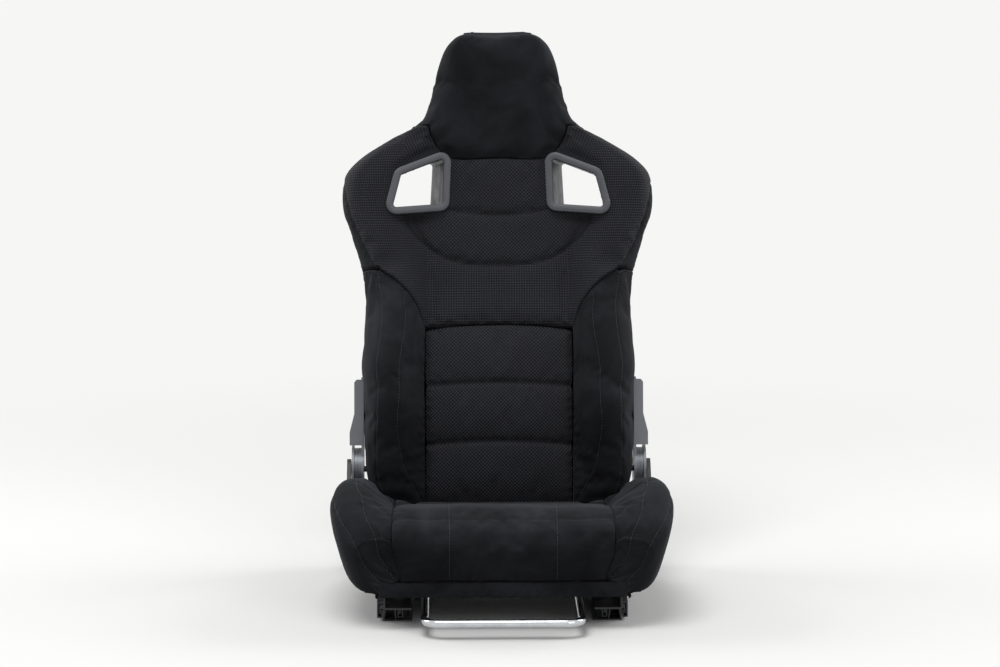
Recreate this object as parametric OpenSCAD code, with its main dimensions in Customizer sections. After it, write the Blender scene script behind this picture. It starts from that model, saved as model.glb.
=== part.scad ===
// Reclining bucket seat on a pair of ball-bearing slide rails.
// Millimetres, +Z up, the seat faces -Y, X to the right in the front view.
// Origin: middle of the four floor bolts, on the underside of the rails.

/* [Overall] */
// Height of the recline hinge above the floor
hinge_h = 176; // [174:0.5:180]
// Distance of the recline hinge behind the middle of the rails
hinge_y = 160; // [158:0.5:164]
// Lean of the backrest from upright, in degrees
recline = 12; // [9:0.5:14]

/* [Slide rails] */
// Distance between the middles of the two rails
rail_spacing = 364; // [360:1:368]
// Length of each rail
rail_len = 380; // [370:2:400]
// Thickness of the rolled rail sheet
rail_t = 2.2; // [2:0.1:2.2]
// Distance between the front and the rear floor bolts
floor_bolt_y = 330; // [300:5:340]
// Radius of the floor bolt holes
floor_hole_r = 4.25; // [3.25:0.25:4.5]
// Distance between two slots of the lock strip
lock_pitch = 10; // [9:0.5:12]

/* [Slide bar] */
// Outer radius of the bent bar
bar_r = 7; // [6:0.5:8]
// Distance of the bar's front run ahead of the middle of the rails
bar_y = 310; // [300:2:320]
// Half of the width over the middles of the bar's arms
bar_half = 125; // [118:1:126]
// Bend radius of the bar
bar_bend = 26; // [20:1:40]

/* [Seat frame] */
// Half of the width over the outside of the pan sides
pan_half = 192; // [190:0.5:193]
// Thickness of the pan side sheet
pan_t = 3; // [2:0.5:3]
// Outer radius of the cross tubes
tube_r = 11; // [9:0.5:11]

/* [Cushion] */
// Half of the width over the bolsters
cushion_half = 277; // [270:1:285]
// Height of the front lip of the cushion
lip_h = 187; // [180:1:192]
// Height of the crest of the bolsters
bolster_h = 217; // [210:1:224]
// Half of the width of the centre panel
centre_half = 176; // [170:1:180]

/* [Backrest] */
// Length of the backrest from the hinge to the top of the head
back_len = 741; // [735:1:755]
// Half of the width over the shoulders
shoulder_half = 262; // [255:1:268]
// Half of the width of the lumbar panel
lumbar_half = 125; // [115:1:130]
// How far the side bolsters stand forward
bolster_depth = 62; // [50:1:66]
// Thickness of the moulded rear shell
shell_t = 3; // [2.5:0.5:4]

/* [Recliner] */
// Radius of the recliner discs
disc_r = 36; // [34:0.5:37]
// Thickness of one recliner disc
disc_t = 6; // [5:0.5:6]
// Length of the release lever
lever_len = 95; // [85:1:98]

/* [Hidden] */
$fn = 48;
// a cut reaches this far past the faces that it opens
past = 1;

// colours
black_steel = [0.13, 0.13, 0.14];
zinc = [0.62, 0.63, 0.65];
grey_steel = [0.5, 0.51, 0.53];
foam_colour = [0.82, 0.78, 0.62];
suede = [0.14, 0.145, 0.155];
mesh_fabric = [0.19, 0.195, 0.205];
shell_colour = [0.09, 0.09, 0.1];
bezel_colour = [0.36, 0.37, 0.38];
chrome_colour = [0.8, 0.8, 0.82];

// slide rail section, around the middle of the rail
rail_x = rail_spacing / 2;
rail_half = 21;
rail_h = 31;
rail_in = rail_half - rail_t;
track_gap = 0.3;
ball_r = 3;
ball_z = rail_h - rail_t - ball_r - track_gap;
ball_x = rail_in - ball_r - track_gap;
flange_z = ball_z - ball_r - track_gap;
lip_z = 5;
hook_z = 11.6;
hook_x = 17.2;
lip_x = 12.2;
lip_top = 17.5;
web_top_x = 6.4;
web_foot_x = 8.8;
// balls run in two groups on each rail, so that they pass no stud or bolt
ball_groups = [[-115, -85], [45, 85]];
ball_step = 20;
cage_t = 1;

// lock strip, inside the seat's half of each rail
strip_reach = 36;
slot_x = 29.5;
slot_w = 6;
slot_len = 5;
slot_first = -165;
slot_last = 75;
lock_gap = 0.5;
tooth_len = 3.2;
tooth_w = 4.4;

// slide bar
bar_z = 26;
bar_pivot_y = 10;
stud_r = 4;
run_gap = 0.06;
eye_r = 9;
eye_w = 15;

// seat frame
deck_z = 64.2;
front_deck_z = 75;
pan_sheet_t = 1.6;
wire_t = 3.2;
tube_rear_y = 140;
tube_front_y = -215;
tube_z = deck_z - wire_t - tube_r;
front_tube_z = front_deck_z - pan_sheet_t - tube_r;
pan_front = -240;
pan_rear = 208;
pan_top = 94;
front_pan_rear = -190;
rail_bolt_y = [-150, -20, 150];
bolt_r = 4;
head_r = 7;
head_h = 5.5;
nut_h = 5.4;

// cushion
cushion_front = -278;
cushion_low = 56;
band_top = 81;
trim_t = 26;
// height of the centre panel: distance behind the rails' middle, height under the lip
centre_line = [[-262, -13], [-238, -4], [-205, 0], [-100, -19], [0, -42], [60, -58], [112, -72]];
// bolster crest: place, height under the full crest
crest_line = [
    [-276, -78], [-262, -50], [-235, -27], [-190, -8], [-135, 0], [-60, -9], [20, -36], [70, -62],
    [97, -82]
];
// bolster outline from above: place, distance inside the full half width
outer_line = [
    [-276, -54], [-262, -32], [-240, -14], [-200, -4], [-150, 0], [-60, -6], [0, -16], [60, -32],
    [97, -41]
];

// backrest, in its own upright frame: [x, depth, height above the hinge]
// half width of the outline at each height
width_line = [
    [-62, -72], [-20, -50], [30, -39], [140, -35.5], [176, -31], [220, -35], [280, -37], [340, -31],
    [400, -15], [440, -2], [475, 0], [505, -5], [530, -28], [560, -77], [582, -116], [600, -135],
    [640, -150], [690, -163], [717, -174], [734, -190], [741, -204]
];
// front of the centre, back of the padding, and how far the bolsters stand forward
front_line = [
    [-62, -30], [-30, -41], [20, -48], [110, -58], [200, -50], [245, -40],
    [330, -25], [450, -22], [560, -33], [650, -54], [698, -66], [731, -64], [741, -50]
];
bolster_line = [
    [-62, 0.14], [-20, 0.3], [30, 0.6], [90, 0.95], [150, 1], [230, 0.93], [290, 0.72],
    [350, 0.5], [430, 0.38], [510, 0.3], [570, 0.12], [620, 0.04], [741, 0.02]
];
pad_back_line = [
    [-62, -14], [28, -14], [85, 22], [105, 25], [120, 25], [400, 25], [420, 25], [450, 25],
    [600, 8], [700, -12], [741, -24]
];
shell_line = [
    [-46, 22], [-20, 42], [40, 60], [120, 63], [450, 63], [560, 58], [650, 41],
    [708, 20], [732, -2], [741, -17]
];
roll_line = [[-62, 16], [60, 26], [400, 30], [500, 28], [580, 22], [700, 20], [741, 12]];
// full height at which the lines above are drawn
drawn_len = 741;
// upper border of the bolsters: part of the way to the edge, height
bolster_border = [[0, 238], [0.19, 274], [0.47, 306], [1, 338]];
// seam under the head: part of the way to the edge, height
head_border = [[0, 529], [0.37, 529], [0.55, 546], [0.68, 560], [0.86, 575], [1, 584], [2, 587]];

// recliner: distances from the middle of the seat
upper_plate_x = 230;
plate_t = 4;
disc_x = upper_plate_x + plate_t;
disc_play = 0.3;
fixed_x = disc_x + disc_t + disc_play;
lower_plate_x = fixed_x + disc_t;
lever_x = lower_plate_x + plate_t + 1.5;
lever_t = 7;
rod_r = 5;
shelf_z = 84;
boss_z = [70, 125];
frame_y = 38;
frame_r = 10;
frame_x = 196;

// harness openings, in a frame that follows the shoulder's surface
opening_at = [135, -36, 487];
opening_turn = 12;

// ---- helpers ----

function lerp(a, b, t) = a + (b - a) * t;
function unit(v) = v / norm(v);
function left_of(v) = [-v[1], v[0]];

// slope of a line of [place, value] knots at knot i
function slope(k, i) =
    let (a = max(i - 1, 0), b = min(i + 1, len(k) - 1))
    (k[b][1] - k[a][1]) / (k[b][0] - k[a][0]);

// cubic between two knots, with the slopes of the line
function cubic(k, i, x) =
    let (
        w = k[i + 1][0] - k[i][0],
        t = (x - k[i][0]) / w,
        flat = lerp(k[i][1], k[i + 1][1], t * t * (3 - 2 * t)),
        lean = w * t * (1 - t) * (slope(k, i) * (1 - t) - slope(k, i + 1) * t)
    )
    flat + lean;

// value at x on the smooth line through the knots
function curve(k, x, i = 0) =
    x <= k[0][0] ? k[0][1]
    : i >= len(k) - 1 ? k[len(k) - 1][1]
    : x < k[i + 1][0] ? cubic(k, i, x)
    : curve(k, x, i + 1);

// a path moved to its right by t, with mitred corners
function moved(p, t) = [
    for (i = [0 : len(p) - 1])
        let (
            a = unit(p[max(i, 1)] - p[max(i, 1) - 1]),
            b = unit(p[min(i + 1, len(p) - 1)] - p[min(i + 1, len(p) - 1) - 1]),
            m = unit(left_of(a) + left_of(b))
        )
        p[i] - m * t / (m * left_of(a))
];

// outline of a bent sheet: the path and the path moved by its thickness
function sheet(p, t) =
    let (q = moved(p, t))
    concat(p, [for (i = [len(q) - 1 : -1 : 0]) q[i]]);

// stretches a profile drawn in X and Z along Y, centred
module along_y(length) {
    rotate([90, 0, 0])
        linear_extrude(length, center = true)
            children();
}

// stretches a profile drawn in Y and Z along X, centred
module along_x(length) {
    rotate([90, 0, 90])
        linear_extrude(length, center = true)
            children();
}

// cylinder along X from x to x + length
module rod_x(r, x, length, y = 0, z = 0) {
    translate([x, y, z])
        rotate([0, 90, 0])
            cylinder(r = r, h = length);
}

// closed solid between two grids of points with the same rows and columns
module slab(front, back) {
    rows = len(front);
    cols = len(front[0]);
    half = rows * cols;
    function at(i, j) = i * cols + j;
    // two triangles over the cell whose corners are a, b, c and d
    function cell(a, b, c, d) = [[a, c, b], [a, d, c]];
    skin = [
        for (i = [0 : rows - 2], j = [0 : cols - 2])
            each concat(
                cell(at(i, j), at(i, j + 1), at(i + 1, j + 1), at(i + 1, j)),
                cell(
                    half + at(i, j), half + at(i + 1, j),
                    half + at(i + 1, j + 1), half + at(i, j + 1)
                )
            )
    ];
    ends = [
        for (j = [0 : cols - 2])
            each concat(
                cell(at(0, j), half + at(0, j), half + at(0, j + 1), at(0, j + 1)),
                cell(
                    at(rows - 1, j), at(rows - 1, j + 1),
                    half + at(rows - 1, j + 1), half + at(rows - 1, j)
                )
            )
    ];
    sides = [
        for (i = [0 : rows - 2])
            each concat(
                cell(at(i, 0), at(i + 1, 0), half + at(i + 1, 0), half + at(i, 0)),
                cell(
                    at(i, cols - 1), half + at(i, cols - 1),
                    half + at(i + 1, cols - 1), at(i + 1, cols - 1)
                )
            )
    ];
    polyhedron(
        [for (row = concat(front, back)) each row],
        concat(skin, ends, sides),
        convexity = 6
    );
}

// puts its children at both rails
module both_rails() {
    for (side = [-1, 1])
        translate([side * rail_x, 0, 0])
            children();
}

module on_side(side) {
    if (side < 0) mirror([1, 0, 0]) children();
    else children();
}

// ---- slide rails ----

// places of the bearing balls along the rail
ball_places = [for (g = ball_groups) each [for (y = [g[0] : ball_step : g[1]]) y]];

module lower_rail_profile() {
    path = [
        [-hook_x, hook_z], [-hook_x, flange_z], [-web_top_x, flange_z],
        [-web_foot_x, rail_t], [web_foot_x, rail_t],
        [web_top_x, flange_z], [hook_x, flange_z], [hook_x, hook_z]
    ];
    polygon(sheet(path, rail_t));
}

module upper_rail_profile() {
    path = [
        [-lip_x, lip_top], [-lip_x, lip_z], [-rail_half, lip_z], [-rail_half, rail_h],
        [rail_half, rail_h], [rail_half, lip_z], [lip_x, lip_z], [lip_x, lip_top]
    ];
    polygon(sheet(path, rail_t));
}

// side 1 is the rail on +X; the lock strip points to the middle of the seat
module lower_rail(side) {
    strip_in = web_foot_x + 0.5;
    color(grey_steel)
        on_side(side)
            translate([rail_x, 0, 0])
                difference() {
                    union() {
                        along_y(rail_len) lower_rail_profile();
                        translate([-strip_reach, -rail_len / 2, 0])
                            cube([strip_reach - strip_in, rail_len, rail_t]);
                    }
                    for (y = [-1, 1])
                        translate([0, y * floor_bolt_y / 2, -past])
                            cylinder(r = floor_hole_r, h = rail_t + 2 * past);
                    for (y = [slot_first : lock_pitch : slot_last])
                        translate([-slot_x - slot_w / 2, y - slot_len / 2, -past])
                            cube([slot_w, slot_len, rail_t + 2 * past]);
                }
}

module upper_rail(side) {
    color(grey_steel)
        on_side(side)
            translate([rail_x, 0, 0])
                difference() {
                    along_y(rail_len) upper_rail_profile();
                    for (y = rail_bolt_y)
                        translate([0, y, rail_h - rail_t - past])
                            cylinder(r = bolt_r, h = rail_t + 2 * past);
                    rod_x(stud_r, -rail_half - past, rail_t + 2 * past, bar_pivot_y, bar_z);
                }
}

// tabs at the ends of the lower rails' flanges, which stop the ball cages
module rail_stops() {
    stop = [7, 5, 5];
    color(zinc)
        both_rails()
            for (edge = [-1, 1], y = [-1, 1])
                translate([edge * 13, y * (rail_len - stop[1]) / 2, flange_z + stop[2] / 2])
                    cube(stop, center = true);
}

module ball_cage(side) {
    pocket = 0.02;
    color(zinc)
        on_side(side)
            for (edge = [-1, 1], g = ball_groups)
                translate([rail_x, 0, 0])
                    difference() {
                        translate([edge * ball_x, (g[0] + g[1]) / 2, ball_z])
                            cube([5.4, g[1] - g[0] + 16, cage_t], center = true);
                        for (y = [g[0] : ball_step : g[1]])
                            translate([edge * ball_x, y, ball_z - past])
                                cylinder(r = ball_r + pocket, h = 2 * past);
                    }
}

module bearing_balls(side) {
    color(chrome_colour)
        on_side(side)
            translate([rail_x, 0, 0])
                for (edge = [-1, 1], y = ball_places)
                    translate([edge * ball_x, y, ball_z])
                        sphere(ball_r);
}

// ---- slide bar ----

module bar_studs() {
    stud_end = 4;
    inner = rail_x - rail_half;
    eye_in = bar_half - eye_w / 2 - 1;
    color(zinc)
        for (side = [-1, 1])
            on_side(side) {
                rod_x(stud_r, eye_in, inner + rail_t - eye_in, bar_pivot_y, bar_z);
                rod_x(head_r, eye_in - stud_end, stud_end, bar_pivot_y, bar_z);
                rod_x(stud_r + 0.9, bar_half + eye_w / 2 + 1, inner - bar_half - eye_w / 2 - 1,
                    bar_pivot_y, bar_z);
            }
}

module slide_bar() {
    run = 2 * (bar_half - bar_bend);
    arm = bar_y - bar_bend + bar_pivot_y;
    color(chrome_colour)
        difference() {
            union() {
                rod_x(bar_r, -run / 2, run, -bar_y, bar_z);
                for (side = [-1, 1])
                    on_side(side) {
                        translate([bar_half - bar_bend, bar_bend - bar_y, bar_z])
                            rotate([0, 0, -90])
                                rotate_extrude(angle = 90)
                                    translate([bar_bend, 0])
                                        circle(bar_r);
                        translate([bar_half, bar_pivot_y, bar_z])
                            rotate([90, 0, 0])
                                cylinder(r = bar_r, h = arm);
                        rod_x(eye_r, bar_half - eye_w / 2, eye_w, bar_pivot_y, bar_z);
                    }
            }
            for (side = [-1, 1])
                on_side(side)
                    rod_x(stud_r + run_gap, bar_half - eye_w, 2 * eye_w, bar_pivot_y, bar_z);
        }
}

// plates under the bar's arms, whose teeth drop into the lock strip
module lock_plates() {
    plate_z = rail_t + lock_gap + tooth_len;
    plate_h = 3;
    first = -60;
    teeth = 3;
    in_x = bar_half - bar_r;
    tooth_x = rail_x - slot_x;
    color(zinc)
        for (side = [-1, 1])
            on_side(side) {
                translate([in_x, first - 5, plate_z])
                    cube([tooth_x + slot_w / 2 - in_x, lock_pitch * (teeth - 1) + 10, plate_h]);
                translate([in_x + 2, first, plate_z + plate_h])
                    cube([2 * bar_r - 4, lock_pitch * (teeth - 1), bar_z - bar_r - plate_z - plate_h]);
                for (i = [0 : teeth - 1])
                    translate([tooth_x, first + i * lock_pitch, plate_z - tooth_len / 2])
                        cube([slot_w - 1.2, slot_len - 1, tooth_len], center = true);
            }
}

// ---- seat frame ----

// L-shaped side of the seat pan, with lightening slots and bolt holes in its foot
module pan_side(side) {
    length = pan_rear - pan_front;
    foot_in = 147;
    path = [[foot_in, rail_h], [pan_half, rail_h], [pan_half, pan_top]];
    slot_r = 13;
    slot_half = 22;
    mid_z = 72;
    color(black_steel)
        on_side(side)
            difference() {
                translate([0, pan_front + length / 2, 0])
                    along_y(length)
                        polygon(sheet([for (i = [2 : -1 : 0]) path[i]], pan_t));
                for (y = rail_bolt_y)
                    translate([rail_x, y, rail_h - past])
                        cylinder(r = bolt_r, h = pan_t + 2 * past);
                for (y = [-110, -20, 70])
                    translate([pan_half - pan_t - past, y, mid_z])
                        rotate([90, 0, 90])
                            linear_extrude(pan_t + 2 * past) {
                                translate([-slot_half, 0]) circle(slot_r);
                                translate([slot_half, 0]) circle(slot_r);
                                square([2 * slot_half, 2 * slot_r], center = true);
                            }
                // the foot ends behind the rail
                translate([foot_in - past, rail_len / 2, rail_h - past])
                    cube([pan_half - pan_t - foot_in + past, length, pan_t + 2 * past]);
            }
}

module rail_bolts() {
    color(zinc)
        both_rails()
            for (y = rail_bolt_y)
                translate([0, y, rail_h + pan_t]) {
                    translate([0, 0, -pan_t - rail_t - nut_h])
                        cylinder(r = bolt_r, h = pan_t + rail_t + nut_h + past);
                    difference() {
                        cylinder(r = head_r, h = head_h);
                        translate([0, 0, head_h - 2.5])
                            cylinder(r = 3.4, h = 3, $fn = 6);
                    }
                }
}

module rail_nuts() {
    color(zinc)
        both_rails()
            for (y = rail_bolt_y)
                translate([0, y, rail_h - rail_t - nut_h])
                    difference() {
                        cylinder(r = 7.2, h = nut_h, $fn = 6);
                        translate([0, 0, -past])
                            cylinder(r = bolt_r, h = nut_h + 2 * past);
                    }
}

module cross_tube(y, z) {
    wall = 2;
    length = 2 * (pan_half - pan_t);
    color(black_steel)
        difference() {
            rod_x(tube_r, -length / 2, length, y, z);
            rod_x(tube_r - wall, -length / 2 - past, length + 2 * past, y, z);
        }
}

// pressed plate under the front of the foam
module front_pan() {
    front = -255;
    rear = front_pan_rear;
    path = [[front, 57], [front, front_deck_z], [rear, front_deck_z], [rear, 58]];
    holes = [-120, -40, 40, 120];
    color(black_steel)
        difference() {
            along_x(2 * centre_half - 8)
                polygon(sheet(path, pan_sheet_t));
            for (x = holes)
                translate([x, -234, front_deck_z - pan_sheet_t - past])
                    cylinder(r = 8, h = pan_sheet_t + 2 * past);
        }
}

// flat serpentine springs between the front pan and the rear tube
module zigzag_springs() {
    from = front_pan_rear;
    to = tube_rear_y + 2;
    lead = 5;
    waves = 9;
    swing = 13;
    steps = 8 * waves;
    wave = [
        for (i = [0 : steps])
            [swing * sin(360 * waves * i / steps), lerp(from + lead, to, i / steps)]
    ];
    color(zinc)
        for (x = [-129, -43, 43, 129])
            translate([x, 0, deck_z - wire_t])
                linear_extrude(wire_t)
                    polygon(sheet(concat([[0, from], [0, from + lead - 2]], wave), wire_t));
}

// ---- cushion ----

function cushion_top(y) = lip_h + curve(centre_line, y);
function crest_z(y) = bolster_h + curve(crest_line, y);
function outer_x(y) = cushion_half + curve(outer_line, y);

// the foam block that rests on the springs and the front pan
module cushion_core() {
    front = -236;
    rear = 108;
    steps = 12;
    top = [
        for (i = [0 : steps])
            let (y = lerp(front, rear, i / steps))
            [y, max(deck_z + 14, cushion_top(y) - trim_t)]
    ];
    under = [
        [rear, deck_z], [front_pan_rear + 2, deck_z],
        [front_pan_rear + 2, front_deck_z], [front, front_deck_z]
    ];
    color(foam_colour)
        along_x(2 * centre_half - 6)
            polygon(concat(top, under));
}

// sewn centre panel with its rolled front lip
module cushion_centre() {
    rear = 110;
    steps = 14;
    inside_y = -236;
    top = [
        for (i = [0 : steps])
            let (y = lerp(-262, rear, i / steps))
            [y, cushion_top(y)]
    ];
    under = [
        for (i = [0 : 12])
            let (y = lerp(108, inside_y, i / 12))
            [y, max(deck_z + 14, cushion_top(y) - trim_t)]
    ];
    face = [
        [inside_y, band_top + 0.5], [-260, band_top + 0.5], [-264, 96],
        [-271, 122], [-277, 144], [cushion_front, 156], [-275, 166]
    ];
    color(suede)
        along_x(2 * centre_half)
            polygon(concat(top, [[rear, deck_z + 14]], under, face));
}

// lower band across the front
module cushion_skirt() {
    out = [[-centre_half, -262], [centre_half, -262], [centre_half, -256.5], [-centre_half, -256.5]];
    color(suede)
        translate([0, 0, cushion_low])
            linear_extrude(band_top - cushion_low)
                polygon(out);
}

// section of the bolster on +X: from the inner foot over the crest to the outer foot
function bolster_section(y) =
    let (
        top = crest_z(y),
        out = outer_x(y),
        inner_top = min(cushion_top(y), top - 4),
        inner_foot = min(pan_top + 4, inner_top - 20),
        side_z = lerp(cushion_low, top, 0.78),
        foot = pan_half + 6
    )
    [
        [centre_half + 0.5, y, inner_foot],
        [centre_half + 0.5, y, inner_top],
        [lerp(centre_half, out, 0.32), y, lerp(inner_top, top, 0.55)],
        [out - 47, y, lerp(inner_top, top, 0.95)],
        [out - 34, y, top],
        [out - 17, y, top - 4],
        [out - 4, y, top - 16],
        [out, y, side_z],
        [out - 6, y, lerp(cushion_low, side_z, 0.72)],
        [out - 15, y, lerp(cushion_low, side_z, 0.44)],
        [out - 25, y, cushion_low + 20],
        [out - 35, y, cushion_low + 5],
        [max(foot + 4, out - 48), y, cushion_low],
        [foot, y, cushion_low],
        [foot, y, inner_foot]
    ];

// how far the front of a bolster leans back under the lip at place y and height z
function tuck(y, z) =
    let (under = max(0, (150 - z) / (150 - cushion_low)), near = min(1, max(0, (-190 - y) / 80)))
    20 * near * pow(under, 1.4);

module cushion_bolster(side) {
    stations = [-276, -272, -262, -248, -228, -200, -170, -135, -95, -50, -5, 35, 70, 97];
    color(suede)
        on_side(side)
            loft([
                for (y = stations)
                    [for (p = bolster_section(y)) [p[0], y + tuck(y, p[2]), p[2]]]
            ]);
}

// closed solid through rings of points, with flat ends
module loft(rings) {
    n = len(rings[0]);
    last = len(rings) - 1;
    skin = [
        for (i = [0 : last - 1], j = [0 : n - 1])
            let (k = (j + 1) % n)
            each [
                [i * n + j, (i + 1) * n + j, (i + 1) * n + k],
                [i * n + j, (i + 1) * n + k, i * n + k]
            ]
    ];
    first_end = [for (j = [0 : n - 1]) j];
    last_end = [for (j = [n - 1 : -1 : 0]) last * n + j];
    polyhedron([for (r = rings) each r], concat(skin, [first_end, last_end]), convexity = 6);
}

// ---- backrest ----

// puts its children, drawn upright around the hinge, at the backrest's lean
module on_back() {
    translate([0, hinge_y, hinge_h])
        rotate([-recline, 0, 0])
            children();
}

function stretch(h) = h * back_len / drawn_len;
function half_width(h) = shoulder_half + curve(width_line, h);
function roll(h) = curve(roll_line, h);
function flat_half(h) = half_width(h) - roll(h);
function pad_back(h) = curve(pad_back_line, h);

// share of the bolster's depth at s, the part of the way to the edge
function swell(s) =
    s < 0.5 ? 0
    : s < 0.74 ? let (t = (s - 0.5) / 0.24) t * t * (3 - 2 * t)
    : 1 - 0.32 * pow((s - 0.74) / 0.26, 2);

// depth of the front at x and height h, short of the rolled edge
function front_depth(x, h) =
    curve(front_line, h) - bolster_depth * curve(bolster_line, h) * swell(x / half_width(h));

// point of the front: q from 0 at the middle to 1 where the edge starts to roll, 2 at the rim
function front_point(q, h) =
    let (
        flat = flat_half(h),
        turn = 90 * max(q - 1, 0),
        x = q < 1 ? q * flat : flat + roll(h) * sin(turn),
        face = front_depth(min(x, flat), h),
        rim = pad_back(h) - 2
    )
    [x, lerp(rim, face, cos(turn)), stretch(h)];

// the same for a place x on the front
function front_at(x, h) = front_point(x / flat_half(h), h);

// rows of points that run from the middle to the rim, continued to the other rim
function both_ways(rows) = [
    for (row = rows)
        concat(
            [for (i = [len(row) - 1 : -1 : 1]) [-row[i][0], row[i][1], row[i][2]]],
            row
        )
];

// pad between rows of front points and the back of the padding
module pad(rows) {
    back = [
        for (row = rows)
            [for (p = row) [p[0], pad_back(p[2] * drawn_len / back_len), p[2]]]
    ];
    slab(rows, back);
}

// columns of the front: places over the lumbar panel, parts of the way from there to the edge
// and steps round the edge
inner_x = [0, 42, 84, lumbar_half + 0.5];
edge_share = [0.12, 0.25, 0.42, 0.6, 0.8];
roll_steps = [1, 1.3, 1.6, 1.85, 2];
// part of the way to the edge, at the seam under the head, of a column of the lumbar panel
function top_share(x) = 0.55 * x / inner_x[3];
function edge_top(t) = lerp(top_share(inner_x[3]), 1, t);

// heights at which the lumbar panel and the bolsters are sampled
low_rows = [-62, -46, -30, -10, 8, 24, 38, 52, 66, 80, 96, 120, 150, 190, 225, 243];
low_first = low_rows[0];
low_last = low_rows[len(low_rows) - 1];

// upper border of the lumbar panel at x
function lumbar_top(x) = 246 - 8 * pow(x / lumbar_half, 2);

module lumbar_pad() {
    cols = [for (i = [-4 : 4]) i * (lumbar_half - 0.5) / 4];
    sunk = 7;
    function height(r, x) = lerp(low_first, lumbar_top(x), (r - low_first) / (low_last - low_first));
    rows = [
        for (r = low_rows)
            [
                for (x = cols)
                    let (h = height(r, x))
                    [x, curve(front_line, h) + sunk * pow(x / lumbar_half, 2), stretch(h)]
            ]
    ];
    color(mesh_fabric)
        on_back()
            pad(rows);
}

// side bolster, cut at the top along the curved border to the shoulder panel
module back_bolster(side) {
    // height of row r at the part t of the way from the inner edge to the outer one
    function height(r, t) =
        lerp(low_first, curve(bolster_border, t), (r - low_first) / (low_last - low_first));
    rows = [
        for (r = low_rows)
            concat(
                [
                    for (t = concat([0], edge_share))
                        let (h = height(r, t))
                        front_at(lerp(inner_x[3], flat_half(h), t), h)
                ],
                [for (q = roll_steps) front_point(q, height(r, 1))]
            )
    ];
    color(suede)
        on_back()
            on_side(side)
                pad(rows);
}

// shoulder panel, from the lumbar panel and the bolsters up to the seam under the head
module shoulder_pad() {
    gap = 0.6;
    levels = [0, 0.05, 0.12, 0.2, 0.3, 0.4, 0.5, 0.58, 0.66, 0.74, 0.82, 0.89, 0.94, 1];
    // height at the part v of the way from the lower border to the upper one
    function rise(low, q, v) = lerp(low + gap, curve(head_border, q) - gap, v);
    function over_lumbar(x, v) =
        let (h = rise(lumbar_top(x), top_share(x), v))
        front_at(lerp(x, top_share(x) * flat_half(h), v), h);
    function over_bolster(t, v) =
        let (
            h = rise(curve(bolster_border, t), edge_top(t), v),
            w = flat_half(h)
        )
        front_at(lerp(lerp(inner_x[3], w, t), edge_top(t) * w, v), h);
    rows = [
        for (v = levels)
            concat(
                [for (x = inner_x) over_lumbar(x, v)],
                [for (t = edge_share) over_bolster(t, v)],
                [for (q = roll_steps) front_point(q, rise(curve(bolster_border, 1), q, v))]
            )
    ];
    color(mesh_fabric)
        on_back()
            difference() {
                pad(both_ways(rows));
                bezel_rooms();
            }
}

module headrest_pad() {
    levels = [0, 0.06, 0.14, 0.24, 0.36, 0.48, 0.6, 0.7, 0.78, 0.85, 0.91, 0.96, 1];
    q_list = concat(
        [for (x = inner_x) top_share(x)],
        [for (t = edge_share) edge_top(t)],
        roll_steps
    );
    rows = [
        for (v = levels)
            [for (q = q_list) front_point(q, lerp(curve(head_border, q), drawn_len, v))]
    ];
    color(suede)
        on_back()
            difference() {
                pad(both_ways(rows));
                bezel_rooms();
            }
}

// ---- rear shell ----

seam_gap = 0.8;

shell_heights = [
    -46, -36, -20, 5, 24, 38, 52, 66, 80, 96, 130, 190, 250, 310, 360, 400, 435, 475, 505, 530, 555,
    575, 600, 640, 685, 712, 729, 738
];

// point of the shell: q from 0 at the middle to 1 where the side rolls, 2 at the rim
function shell_point(q, h, inset) =
    let (
        deep = max(curve(shell_line, h), pad_back(h) + 5),
        r = roll(h) + 6,
        wide = half_width(h) - 1 - inset,
        turn = 90 * max(q - 1, 0),
        rise = deep - inset - pad_back(h) - seam_gap,
        x = q < 1 ? q * (wide - r) : wide - r + r * sin(turn),
        belly = 5 * pow(min(q, 1), 2)
    )
    [x, pad_back(h) + seam_gap + (rise - min(belly, rise / 2)) * cos(turn), stretch(h)];

module rear_shell() {
    q_list = [0, 0.35, 0.7, 1, 1.25, 1.5, 1.75, 2];
    rod_room = 5;
    function grid(inset) =
        both_ways([for (h = shell_heights) [for (q = q_list) shell_point(q, h, inset)]]);
    color(shell_colour)
        on_back()
            difference() {
                slab(grid(shell_t), grid(0));
                bezel_rooms();
                for (side = [-1, 1])
                    on_side(side) {
                        for (h = boss_z)
                            rod_x(9.5, frame_x + 4, 40, frame_y, h);
                        rod_x(rod_r + rod_room, frame_x - 30, 80);
                    }
            }
}

// ---- harness openings ----

bezel_wall = 3;
bezel_rim = 13;
bezel_deep = 150;

// the opening, drawn with X across and Y up the backrest, around its middle
module opening_outline() {
    corners = [[-43.5, 42], [31, 13], [46, -42.5], [-40, -35.5]];
    round_r = 5;
    offset(r = round_r)
        offset(delta = -round_r)
            polygon(corners);
}

// turns X and Y of its children onto the shoulder's surface, Z towards the front
module on_opening(side) {
    on_side(side)
        translate(opening_at)
            rotate([90, 0, 0])
                rotate([0, -opening_turn, 0])
                    children();
}

// room for both bezels: the sleeve right through, and a seat under the front flange
module bezel_rooms() {
    room = 0.2;
    for (side = [-1, 1])
        on_opening(side) {
            translate([0, 0, -bezel_deep])
                linear_extrude(2 * bezel_deep)
                    offset(r = bezel_wall + room)
                        opening_outline();
            linear_extrude(bezel_deep)
                offset(r = bezel_rim + room)
                    opening_outline();
        }
}

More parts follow.
